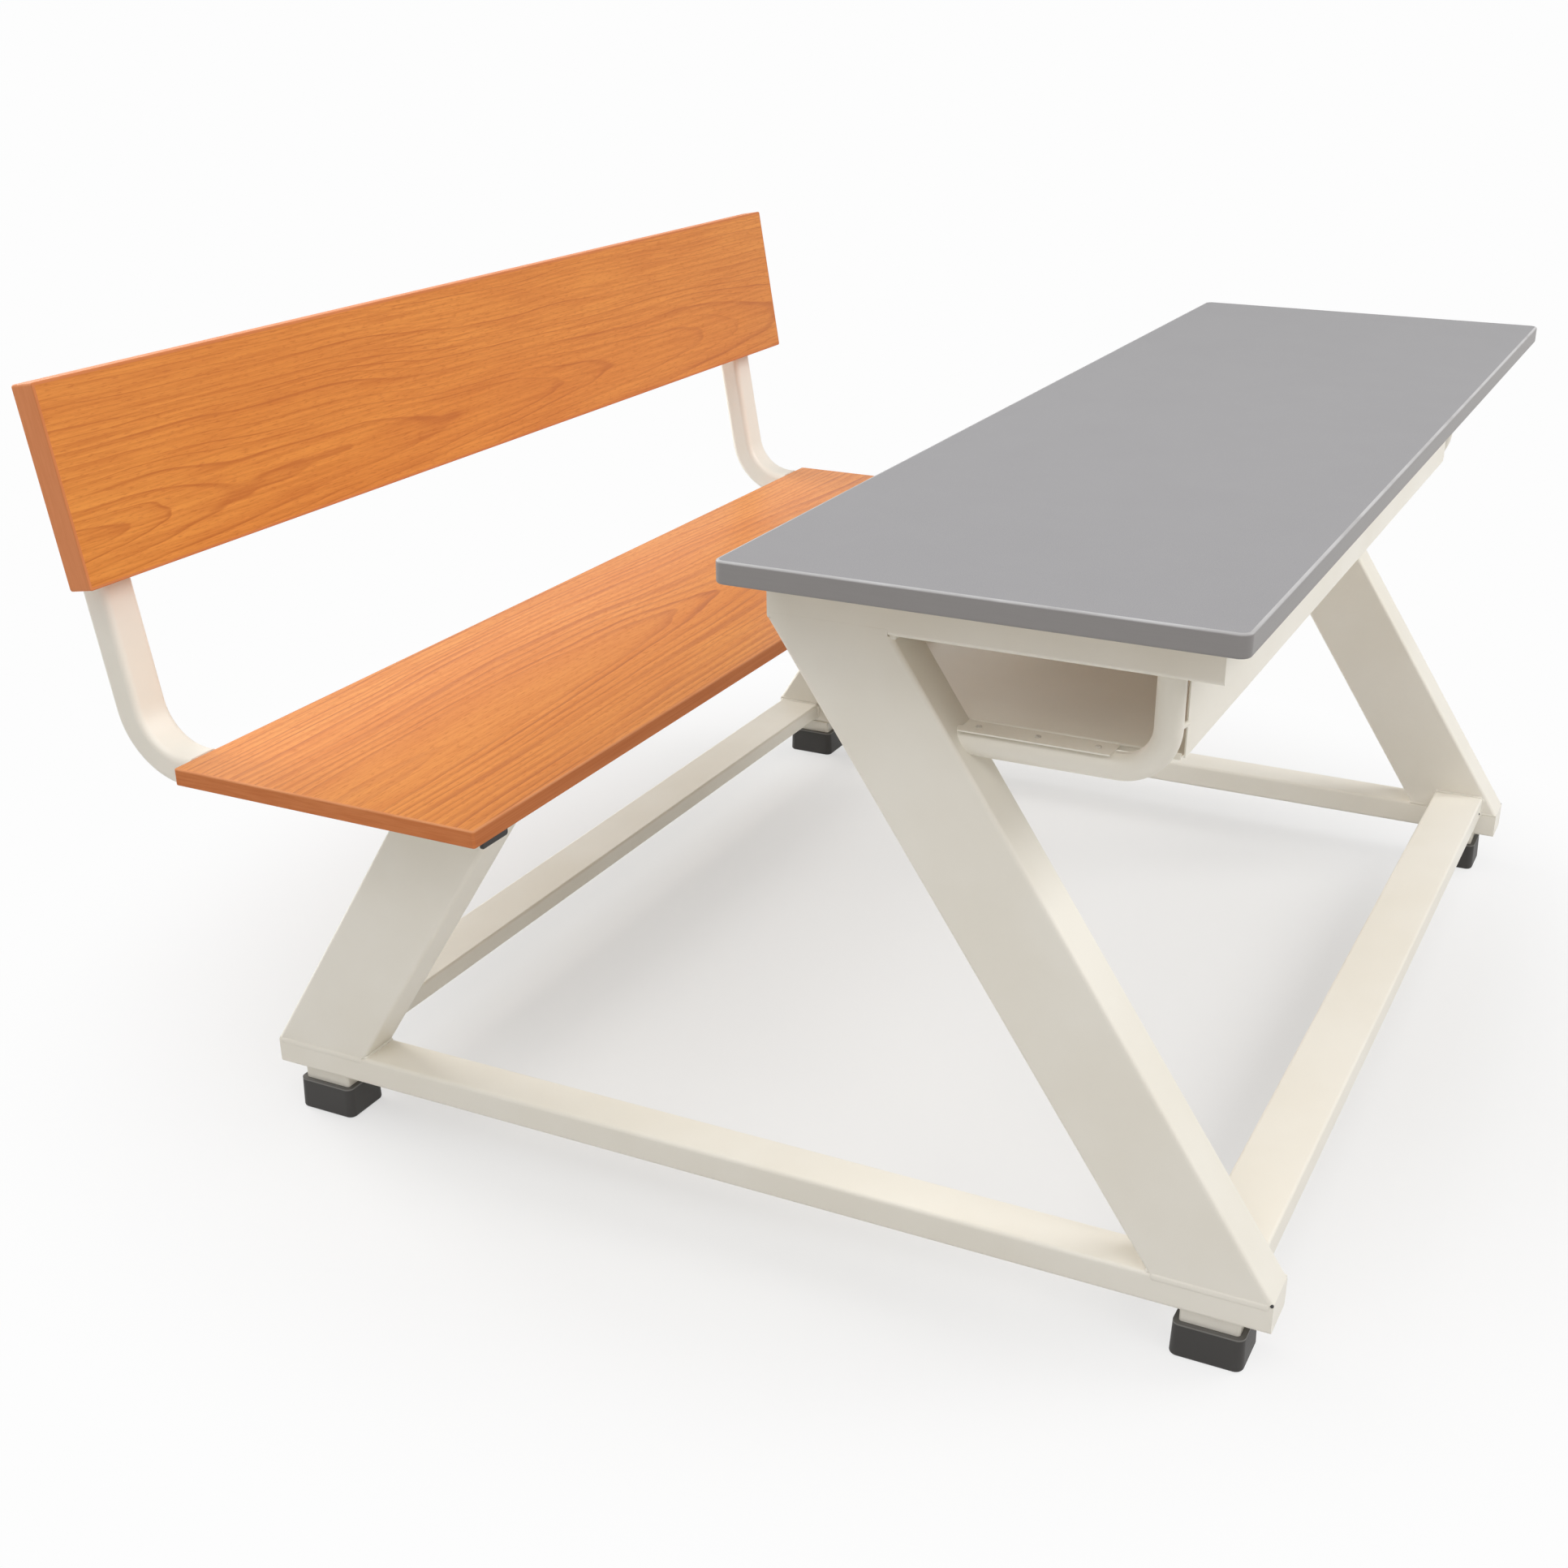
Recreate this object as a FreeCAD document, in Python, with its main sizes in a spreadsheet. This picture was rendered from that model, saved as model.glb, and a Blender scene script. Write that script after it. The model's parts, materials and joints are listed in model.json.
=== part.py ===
"""A two-pupil school desk with an attached bench, as a parametric document in millimetres.

The frame is X along the length, Y from the desk (minus) to the bench (plus) and Z up, with the origin on the
floor in the middle of the object. Left and right are those of the pupils, who face minus Y.
"""
import FreeCAD
import Part
import math
import os
import re
import Sketcher

Vector = FreeCAD.Vector
X_AXIS = Vector(1, 0, 0)
Y_AXIS = Vector(0, 1, 0)

# Driving sizes, each written once, in millimetres and degrees. The two shares are parts of a screw head.
SIZES = {
    "desk_length": 1300,
    "desk_depth": 403.5,
    "desk_thickness": 18,
    "desk_height": 653,
    "desk_front_y": -525.15,
    "desk_corner": 9,
    "desk_round": 2,
    "seat_length": 1280,
    "seat_depth": 328,
    "seat_thickness": 16,
    "seat_height": 384,
    "seat_front_y": 120.35,
    "seat_corner": 2.7,
    "seat_round": 1,
    "back_length": 1320,
    "back_height": 180,
    "back_thickness": 25,
    "back_lean": 9.4,
    "back_setback": 44.5,
    "back_rise": 166,
    "back_corner": 2.7,
    "back_round": 1,
    "band_thickness": 2.5,
    "frame_width": 1146,
    "tube_wall": 2,
    "leg_width": 46,
    "leg_depth": 88,
    "leg_round": 4,
    "toe_y": -576.15,
    "heel_y": 428.85,
    "rail_clearance": 47,
    "rail_height": 29,
    "cap_thickness": 2,
    "top_rail_height": 48,
    "top_rail_setback": 34,
    "top_rail_rear_setback": 5.1,
    "seat_leg_setback": 26.4,
    "front_bar_depth": 58,
    "front_bar_height": 27,
    "front_bar_inset": 19,
    "front_bar_lift": 23,
    "rear_bar_depth": 58,
    "rear_bar_height": 20,
    "rear_bar_inset": 2,
    "rear_bar_lift": 6,
    "bar_round": 3,
    "stub_width": 40,
    "stub_depth": 52,
    "stub_round": 3,
    "desk_stub_inset": 51.5,
    "seat_stub_inset": 50,
    "shoe_height": 33,
    "shoe_wall": 6,
    "shoe_floor": 8,
    "shoe_corner": 8,
    "shoe_taper": 2,
    "shoe_edge_round": 3,
    "post_width": 39,
    "post_depth": 29,
    "post_round": 7,
    "post_bend": 62,
    "post_outset": 47.5,
    "post_top_drop": 22,
    "post_end_gap": 0.3,
    "post_sink": 2,
    "bearer_height": 10,
    "bearer_round": 3,
    "bearer_setback": 6,
    "seat_plate_thickness": 3,
    "spacer_thickness": 4,
    "spacer_diameter": 22,
    "plug_flange": 3,
    "plug_insert": 14,
    "plug_clearance": 0.2,
    "loop_diameter": 22,
    "loop_wall": 1.5,
    "loop_bend": 36,
    "loop_setback": 78,
    "loop_drop": 82,
    "sheet_thickness": 1.2,
    "panel_lead": 8,
    "panel_lip": 14,
    "pan_depth": 4,
    "tray_flange_width": 23,
    "tray_flange_margin": 4,
    "tray_overrun": 120,
    "tray_side_gap": 1.5,
    "tray_hem": 10,
    "wood_screw_diameter": 5,
    "wood_screw_head": 10,
    "wood_screw_head_height": 3,
    "wood_screw_grip": 12,
    "crown_share": 0.6,
    "rim_share": 0.4,
    "screw_clearance": 0.3,
    "desk_screw_end": 95,
    "desk_screw_pitch": 110,
    "seat_screw_end": 40,
    "seat_screw_pitch": 100,
    "back_screw_pitch": 90,
    "tray_screw_diameter": 3,
    "tray_screw_head": 5,
    "tray_screw_head_height": 1.4,
    "tray_screw_length": 8,
    "tray_screw_end": 13,
}

# Places and sizes that follow from the driving ones.
DERIVED = {
    "frame_half": "frame_width / 2",
    "leg_middle_x": "frame_half - leg_width / 2",
    "leg_inner_x": "frame_half - leg_width",
    "rail_top": "rail_clearance + rail_height",
    "desk_under": "desk_height - desk_thickness",
    "desk_middle_y": "desk_front_y + desk_depth / 2",
    "top_rail_under": "desk_under - top_rail_height",
    "top_rail_front": "desk_front_y + top_rail_setback",
    "top_rail_rear": "desk_front_y + desk_depth - top_rail_rear_setback",
    "desk_leg_rise": "top_rail_under - rail_top",
    "desk_leg_run": "top_rail_rear - toe_y",
    "desk_leg_reach": "sqrt(desk_leg_run * desk_leg_run + desk_leg_rise * desk_leg_rise)",
    "desk_leg_lean": "acos(leg_depth / desk_leg_reach) - atan(desk_leg_rise / desk_leg_run)",
    "desk_leg_span": "leg_depth / cos(desk_leg_lean)",
    "seat_under": "seat_height - seat_thickness",
    "seat_middle_y": "seat_front_y + seat_depth / 2",
    "bearer_under": "seat_under - bearer_height",
    "bearer_front": "seat_front_y + bearer_setback + plug_flange",
    "seat_leg_top": "bearer_under - seat_plate_thickness",
    "seat_leg_front": "seat_front_y + seat_leg_setback",
    "seat_leg_rise": "seat_leg_top - rail_top",
    "seat_leg_run": "heel_y - seat_leg_front",
    "seat_leg_reach": "sqrt(seat_leg_run * seat_leg_run + seat_leg_rise * seat_leg_rise)",
    "seat_leg_lean": "acos(leg_depth / seat_leg_reach) - atan(seat_leg_rise / seat_leg_run)",
    "seat_leg_span": "leg_depth / cos(seat_leg_lean)",
    "seat_leg_rear": "seat_leg_front + seat_leg_span",
    "post_outer_x": "frame_half + post_outset",
    "post_middle_x": "post_outer_x - post_width / 2",
    "post_end_y": "seat_front_y + seat_depth + post_end_gap + cap_thickness",
    "post_run_z": "bearer_under - post_sink + post_depth / 2",
    "back_foot_y": "seat_front_y + seat_depth + back_setback",
    "back_foot_z": "seat_height + back_rise",
    "back_rear_y": "back_foot_y + back_height / 2 * sin(back_lean) + back_thickness * cos(back_lean)",
    "back_rear_z": "back_foot_z + back_height / 2 * cos(back_lean) - back_thickness * sin(back_lean)",
    "post_climb": "back_height / 2 - post_top_drop",
    "post_standoff": "spacer_thickness + post_depth / 2",
    "post_top_y": "back_rear_y + post_standoff * cos(back_lean) + post_climb * sin(back_lean)",
    "post_top_z": "back_rear_z - post_standoff * sin(back_lean) + post_climb * cos(back_lean)",
    "stub_middle_x": "leg_inner_x + stub_width / 2",
    "desk_stub_y": "toe_y + desk_stub_inset",
    "seat_stub_y": "heel_y - seat_stub_inset",
    "loop_y": "desk_front_y + loop_setback",
    "loop_run_z": "top_rail_under - loop_drop",
    "loop_top_z": "loop_run_z + loop_diameter / 2",
    "loop_inner_x": "leg_middle_x - loop_diameter / 2",
    "loop_leg_y": "toe_y + (loop_run_z - rail_top) * tan(desk_leg_lean)",
    "panel_front_y": "loop_y - panel_lead",
    "panel_inner_y": "panel_front_y + sheet_thickness",
    "pan_under": "loop_top_z - pan_depth",
    "pan_half": "loop_inner_x - sheet_thickness - tray_side_gap",
    "tray_narrow_y": "loop_leg_y + (pan_under - loop_run_z) * tan(desk_leg_lean) - tray_side_gap",
    "tray_flange_front": "loop_y + loop_bend + tray_flange_margin",
    "tray_screw_pitch": "(tray_narrow_y - tray_flange_front) / 2 - tray_screw_end",
    "tray_rear_y": "loop_leg_y + tray_overrun",
    "tray_wide_half": "pan_half + tray_side_gap + sheet_thickness + tray_flange_width",
}

document = FreeCAD.newDocument("SchoolDesk")
NODES = []
SIDES = (("left", 1), ("right", -1))


def make_sheet(name, cells):
    """Makes a sheet with one named cell for each size."""
    sheet = document.addObject("Spreadsheet::Sheet", name)
    for row, (alias, content) in enumerate(cells.items(), start=1):
        sheet.set(f"A{row}", alias)
        sheet.set(f"B{row}", str(content))
        sheet.setAlias(f"B{row}", alias)
    document.recompute()
    return sheet


def formula(text):
    """Turns a formula in plain size names into one that names the sheets' cells."""
    def cell(match):
        name = match.group()
        return f"Sizes.{name}" if name in SIZES else f"Derived.{name}"
    return re.sub(r"[a-z]+(?:_[a-z]+)+", cell, str(text))


sizes = make_sheet("Sizes", SIZES)
own_cells = {name: "=" + formula(text).replace("Derived.", "") for name, text in DERIVED.items()}
derived = make_sheet("Derived", own_cells)


def amount(text):
    """The value that a formula has now."""
    return float(sizes.evalExpression(formula(text)))


def bind(item, **formulas):
    """Binds properties of an object to formulas."""
    for name, text in formulas.items():
        item.setExpression(name, formula(text))


def place(item, x=0, y=0, z=0, axis=X_AXIS, angle=0):
    """Binds an object's placement: a turn about one axis, then a move."""
    item.Placement = FreeCAD.Placement(Vector(), FreeCAD.Rotation(axis, amount(angle)))
    for letter, text in (("x", x), ("y", y), ("z", z)):
        item.setExpression(f"Placement.Base.{letter}", formula(text))
    if str(angle) != "0":
        item.setExpression("Placement.Rotation.Angle", formula(angle))


def node(item, label):
    """Names a finished piece and keeps it for writing."""
    item.Label = label
    NODES.append(item)
    return item


def new_body(name):
    """Starts a piece that is made of sketched features."""
    return document.addObject("PartDesign::Body", name)


def new_sketch(body, plane, name, offset=0):
    """Adds a sketch on one of the body's own planes, moved along its normal by a formula."""
    sketch = body.newObject("Sketcher::SketchObject", name)
    support = [feature for feature in body.Origin.OriginFeatures if feature.Role == plane][0]
    sketch.AttachmentSupport = (support, "")
    sketch.MapMode = "FlatFace"
    if str(offset) != "0":
        sketch.setExpression("AttachmentOffset.Base.z", formula(offset))
    return sketch


def dimension(sketch, name, text, kind, *where):
    """Adds a named dimension to a sketch and binds it to a formula."""
    value = math.radians(amount(text)) if kind == "Angle" else amount(text)
    index = sketch.addConstraint(Sketcher.Constraint(kind, *where, value))
    sketch.renameConstraint(index, name)
    sketch.setExpression(f"Constraints.{name}", formula(text))


def rounded_rectangle(sketch, name, width, depth, radius):
    """Draws a rectangle with round corners, centred on the sketch's origin."""
    half_width = amount(width) / 2
    half_depth = amount(depth) / 2
    corner = amount(radius)
    first = sketch.GeometryCount
    for turn in range(4):
        across, along = (half_width, half_depth) if turn % 2 == 0 else (half_depth, half_width)
        spin = FreeCAD.Rotation(Vector(0, 0, 1), 90 * turn)
        start = spin.multVec(Vector(corner - across, -along, 0))
        end = spin.multVec(Vector(across - corner, -along, 0))
        centre = spin.multVec(Vector(across - corner, corner - along, 0))
        circle = Part.Circle(centre, Vector(0, 0, 1), corner)
        quarter = math.pi / 2
        sketch.addGeometry(Part.LineSegment(start, end))
        sketch.addGeometry(Part.ArcOfCircle(circle, quarter * (turn - 1), quarter * turn))
    lines = [first + 2 * turn for turn in range(4)]
    arcs = [line + 1 for line in lines]
    for turn in range(4):
        sketch.addConstraint(Sketcher.Constraint("Tangent", lines[turn], 2, arcs[turn], 1))
        sketch.addConstraint(Sketcher.Constraint("Tangent", arcs[turn], 2, lines[(turn + 1) % 4], 1))
        level = "Horizontal" if turn % 2 == 0 else "Vertical"
        sketch.addConstraint(Sketcher.Constraint(level, lines[turn]))
    for turn in range(1, 4):
        sketch.addConstraint(Sketcher.Constraint("Equal", arcs[0], arcs[turn]))
    sketch.addConstraint(Sketcher.Constraint("Symmetric", arcs[0], 3, arcs[2], 3, -1, 1))
    dimension(sketch, name + "_radius", radius, "Radius", arcs[0])
    dimension(sketch, name + "_width", width, "DistanceX", lines[3], 1, lines[1], 1)
    dimension(sketch, name + "_depth", depth, "DistanceY", lines[0], 1, lines[2], 1)


def outline(sketch, points):
    """Draws a closed outline through points given as pairs of formulas."""
    count = len(points)
    places = [Vector(amount(x), amount(y), 0) for x, y in points]
    for index in range(count):
        sketch.addGeometry(Part.LineSegment(places[index], places[(index + 1) % count]))
    for index in range(count):
        sketch.addConstraint(Sketcher.Constraint("Coincident", index, 2, (index + 1) % count, 1))
    for index, (x, y) in enumerate(points):
        for letter, text, kind, axis in (("x", x, "DistanceX", -2), ("y", y, "DistanceY", -1)):
            if str(text) == "0":
                sketch.addConstraint(Sketcher.Constraint("PointOnObject", index, 1, axis))
            else:
                dimension(sketch, f"point_{letter}{index}", text, kind, -1, 1, index, 1)


def bent_path(sketch, start_angle, end_angle, end_x, end_y, radius):
    """Draws a straight run from the origin, one tangent bend and a straight run to the end point."""
    first, second, bend = math.radians(start_angle), math.radians(amount(end_angle)), amount(radius)
    go = Vector(math.cos(first), math.sin(first), 0)
    leave = Vector(math.cos(second), math.sin(second), 0)
    end = Vector(amount(end_x), amount(end_y), 0)
    along = (end.x * leave.y - end.y * leave.x) / (go.x * leave.y - go.y * leave.x)
    tangent = bend * math.tan((second - first) / 2)
    corner = go * along
    bend_in = corner - go * tangent
    bend_out = corner + leave * tangent
    circle = Part.Circle(bend_in + Vector(-go.y, go.x, 0) * bend, Vector(0, 0, 1), bend)
    quarter = math.pi / 2
    sketch.addGeometry(Part.LineSegment(Vector(), bend_in))
    sketch.addGeometry(Part.ArcOfCircle(circle, first - quarter, second - quarter))
    sketch.addGeometry(Part.LineSegment(bend_out, end))
    sketch.addConstraint(Sketcher.Constraint("Coincident", 0, 1, -1, 1))
    sketch.addConstraint(Sketcher.Constraint("Tangent", 0, 2, 1, 1))
    sketch.addConstraint(Sketcher.Constraint("Tangent", 1, 2, 2, 1))
    sketch.addConstraint(Sketcher.Constraint("Horizontal" if start_angle == 0 else "Vertical", 0))
    dimension(sketch, "bend_radius", radius, "Radius", 1)
    dimension(sketch, "end_angle", end_angle, "Angle", 2)
    dimension(sketch, "end_x", end_x, "DistanceX", -1, 1, 2, 2)
    dimension(sketch, "end_y", end_y, "DistanceY", -1, 1, 2, 2)


def pad(body, sketch, length, taper="0"):
    """Raises a sketch into a solid."""
    feature = body.newObject("PartDesign::Pad", body.Name + "Pad")
    feature.Profile = sketch
    bind(feature, Length=length)
    if str(taper) != "0":
        bind(feature, TaperAngle=taper)
    document.recompute()
    return feature


def soften(body, feature, radius, chosen):
    """Rounds the edges of a feature that a test picks."""
    edges = [f"Edge{index}" for index, edge in enumerate(feature.Shape.Edges, start=1) if chosen(edge)]
    fillet = body.newObject("PartDesign::Fillet", body.Name + "Fillet")
    fillet.Base = (feature, edges)
    bind(fillet, Radius=radius)
    document.recompute()
    return fillet


def box(name, x, y, z):
    """Makes a block between pairs of formulas along each axis."""
    block = document.addObject("Part::Box", name)
    pairs = [[formula(text) for text in pair] for pair in (x, y, z)]
    for side, (low, high) in zip(("Length", "Width", "Height"), pairs):
        block.setExpression(side, f"({high}) - ({low})")
    for letter, (low, _) in zip("xyz", pairs):
        block.setExpression(f"Placement.Base.{letter}", low)
    return block


def join(name, blocks):
    """Joins folded strips of one sheet into one piece."""
    joined = document.addObject("Part::MultiFuse", name)
    joined.Shapes = blocks
    joined.Refine = True
    return joined


def cut(name, base, tools):
    """Cuts a list of tools out of a base."""
    group = document.addObject("Part::Compound", name + "Tools")
    group.Links = tools
    result = document.addObject("Part::Cut", name)
    result.Base = base
    result.Tool = group
    return result


def tube(name, width, depth, radius, length):
    """Makes a straight rectangular tube along its own Z axis from the origin."""
    body = new_body(name)
    section = new_sketch(body, "XY_Plane", name + "Section")
    rounded_rectangle(section, "outer", width, depth, radius)
    walls = "2 * tube_wall"
    rounded_rectangle(section, "inner", f"({width}) - {walls}", f"({depth}) - {walls}",
                      f"({radius}) - tube_wall")
    pad(body, section, length)
    return body


def plate(name, width, depth, radius, length):
    """Makes a round-cornered plate along its own Z axis from the origin."""
    body = new_body(name)
    section = new_sketch(body, "XY_Plane", name + "Section")
    rounded_rectangle(section, "outer", width, depth, radius)
    pad(body, section, length)
    return body


def banded_board(kind):
    """Makes a board's core and the band round its rim, both lying on their own XY plane."""
    across = "back_height" if kind == "back" else f"{kind}_depth"
    size = (f"{kind}_length", across, f"{kind}_corner")
    bands = "2 * band_thickness"
    inner = (f"{size[0]} - {bands}", f"{across} - {bands}", f"{size[2]} - band_thickness")
    core = plate(kind + "_core", *inner, f"{kind}_thickness")
    band = new_body(kind + "_band")
    rim = new_sketch(band, "XY_Plane", kind + "_rim")
    rounded_rectangle(rim, "outer", *size)
    rounded_rectangle(rim, "inner", *inner)
    ring = pad(band, rim, f"{kind}_thickness")
    half_length, half_across, corner = amount(size[0]) / 2, amount(across) / 2, amount(size[2])

    def outer_rim(edge):
        """True for an edge that runs along the outside of the ring."""
        middle = edge.valueAt((edge.FirstParameter + edge.LastParameter) / 2)
        level = abs(edge.BoundBox.ZLength) < 1e-6
        out_x = abs(middle.x) - half_length + corner
        out_y = abs(middle.y) - half_across + corner
        gap = math.hypot(max(out_x, 0), max(out_y, 0)) + min(max(out_x, out_y), 0) - corner
        return level and abs(gap) < 1e-3

    soften(band, ring, f"{kind}_round", outer_rim)
    return core, band


def bent_tube(name, outer, inner, start_angle, path):
    """Carries a closed section along a bent path in the YZ plane and bores it hollow."""
    body = new_body(name)
    plane = "XZ_Plane" if start_angle == 0 else "XY_Plane"
    route = new_sketch(body, "YZ_Plane", name + "Route")
    bent_path(route, start_angle, *path)
    for stage, draw in (("Additive", outer), ("Subtractive", inner)):
        section = new_sketch(body, plane, name + stage + "Section")
        draw(section)
        pipe = body.newObject(f"PartDesign::{stage}Pipe", name + stage)
        pipe.Profile = section
        pipe.Spine = (route, ["Edge1", "Edge2", "Edge3"])
        document.recompute()
    return body


def disc(diameter):
    """Gives a drawing of one circle round a sketch's origin."""
    def draw(sketch):
        sketch.addGeometry(Part.Circle(Vector(), Vector(0, 0, 1), amount(diameter) / 2))
        sketch.addConstraint(Sketcher.Constraint("Coincident", 0, 3, -1, 1))
        dimension(sketch, "diameter", diameter, "Diameter", 0)
    return draw


def rectangle(width, depth, radius):
    """Gives a drawing of one rounded rectangle round a sketch's origin."""
    def draw(sketch):
        rounded_rectangle(sketch, "outer", width, depth, radius)
    return draw


class ScrewGroup:
    """A set of equal screws in one node, with the holes that they need."""

    def __init__(self, label, kind, length, places, angle):
        self.label, self.kind, self.length, self.places, self.angle = label, kind, length, places, angle

    def screws(self):
        """Makes the screws: a pan head under the seat face and a plain shank past it."""
        radius = f"{self.kind}_screw_diameter / 2"
        head = f"{self.kind}_screw_head / 2"
        height = f"{self.kind}_screw_head_height"
        bodies = []
        for number, (x, y, z) in enumerate(self.places):
            body = new_body(f"{self.label}_{number}")
            profile = new_sketch(body, "XZ_Plane", f"{self.label}_{number}_profile")
            outline(profile, [(0, f"-{height}"), (f"crown_share * {head}", f"-{height}"),
                              (head, f"-rim_share * {height}"), (head, 0),
                              (radius, 0), (radius, self.length), (0, self.length)])
            turned = body.newObject("PartDesign::Revolution", f"{self.label}_{number}_turned")
            turned.Profile = profile
            turned.ReferenceAxis = (profile, ["V_Axis"])
            turned.Angle = 360
            place(body, x, y, z, angle=self.angle)
            bodies.append(body)
        group = document.addObject("Part::Compound", self.label)
        group.Links = bodies
        return node(group, self.label)

    def holes(self, name, chosen=lambda x: True):
        """Makes the hole tools for the screws whose X place a test picks."""
        tools = []
        for number, (x, y, z) in enumerate(self.places):
            if chosen(amount(x)):
                tool = document.addObject("Part::Cylinder", f"{name}_hole_{number}")
                bind(tool, Radius=f"{self.kind}_screw_diameter / 2 + screw_clearance / 2")
                bind(tool, Height=f"{self.length} + screw_clearance")
                place(tool, x, y, z, angle=self.angle)
                tools.append(tool)
        return tools


def on_side(sign):
    """Gives a test for X places on one side."""
    return lambda x: x * sign > 0


def signed(sign, text):
    """A formula for a place on the left or its mirror on the right."""
    return f"{sign} * ({text})"


def pair_x(middle, half, sign):
    """The two X limits, low first, of a block about a mirrored middle."""
    return (f"{signed(sign, middle)} - ({half})", f"{signed(sign, middle)} + ({half})")


def back_spot(sign, half, behind):
    """The place of a backrest screw's axis, a given distance behind the backrest."""
    along = f"{half} * back_screw_pitch"
    return (signed(sign, "post_middle_x"),
            f"back_rear_y + ({behind}) * cos(back_lean) + {along} * sin(back_lean)",
            f"back_rear_z - ({behind}) * sin(back_lean) + {along} * cos(back_lean)")


# The screw groups come first, because the boards and tubes are drilled for them.
desk_screws = ScrewGroup(
    "desktop_screws", "wood", "top_rail_height + wood_screw_grip",
    [(signed(sign, "leg_middle_x"), f"top_rail_front + desk_screw_end + {index} * desk_screw_pitch",
      "top_rail_under") for _, sign in SIDES for index in range(2)], 0)
seat_screws = ScrewGroup(
    "seat_screws", "wood", "bearer_height + wood_screw_grip",
    [(signed(sign, "post_middle_x"), f"seat_leg_rear + seat_screw_end + {index} * seat_screw_pitch",
      "bearer_under") for _, sign in SIDES for index in range(2)], 0)
back_screws = ScrewGroup(
    "backrest_screws", "wood", "post_depth + spacer_thickness + wood_screw_grip",
    [back_spot(sign, half, "spacer_thickness + post_depth") for _, sign in SIDES for half in (-0.5, 0.5)],
    "90 - back_lean")
tray_screws = ScrewGroup(
    "tray_screws", "tray", "tray_screw_length",
    [(signed(sign, "leg_middle_x"), f"tray_flange_front + tray_screw_end + {index} * tray_screw_pitch",
      "loop_top_z + sheet_thickness") for _, sign in SIDES for index in range(3)], 180)
for group in (desk_screws, seat_screws, back_screws, tray_screws):
    group.screws()

# Boards with their edge bands.
for kind, label, screws, spot in (
        ("desk", "desktop", desk_screws, (0, "desk_middle_y", "desk_under", X_AXIS, 0)),
        ("seat", "seat", seat_screws, (0, "seat_middle_y", "seat_under", X_AXIS, 0)),
        ("back", "backrest", back_screws, (0, "back_rear_y", "back_rear_z", X_AXIS, "90 - back_lean"))):
    core, band = banded_board(kind)
    place(core, *spot)
    place(band, *spot)
    node(cut(kind + "_board", core, screws.holes(kind + "_board")), label + "_board")
    node(band, label + "_edge_band")

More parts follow.
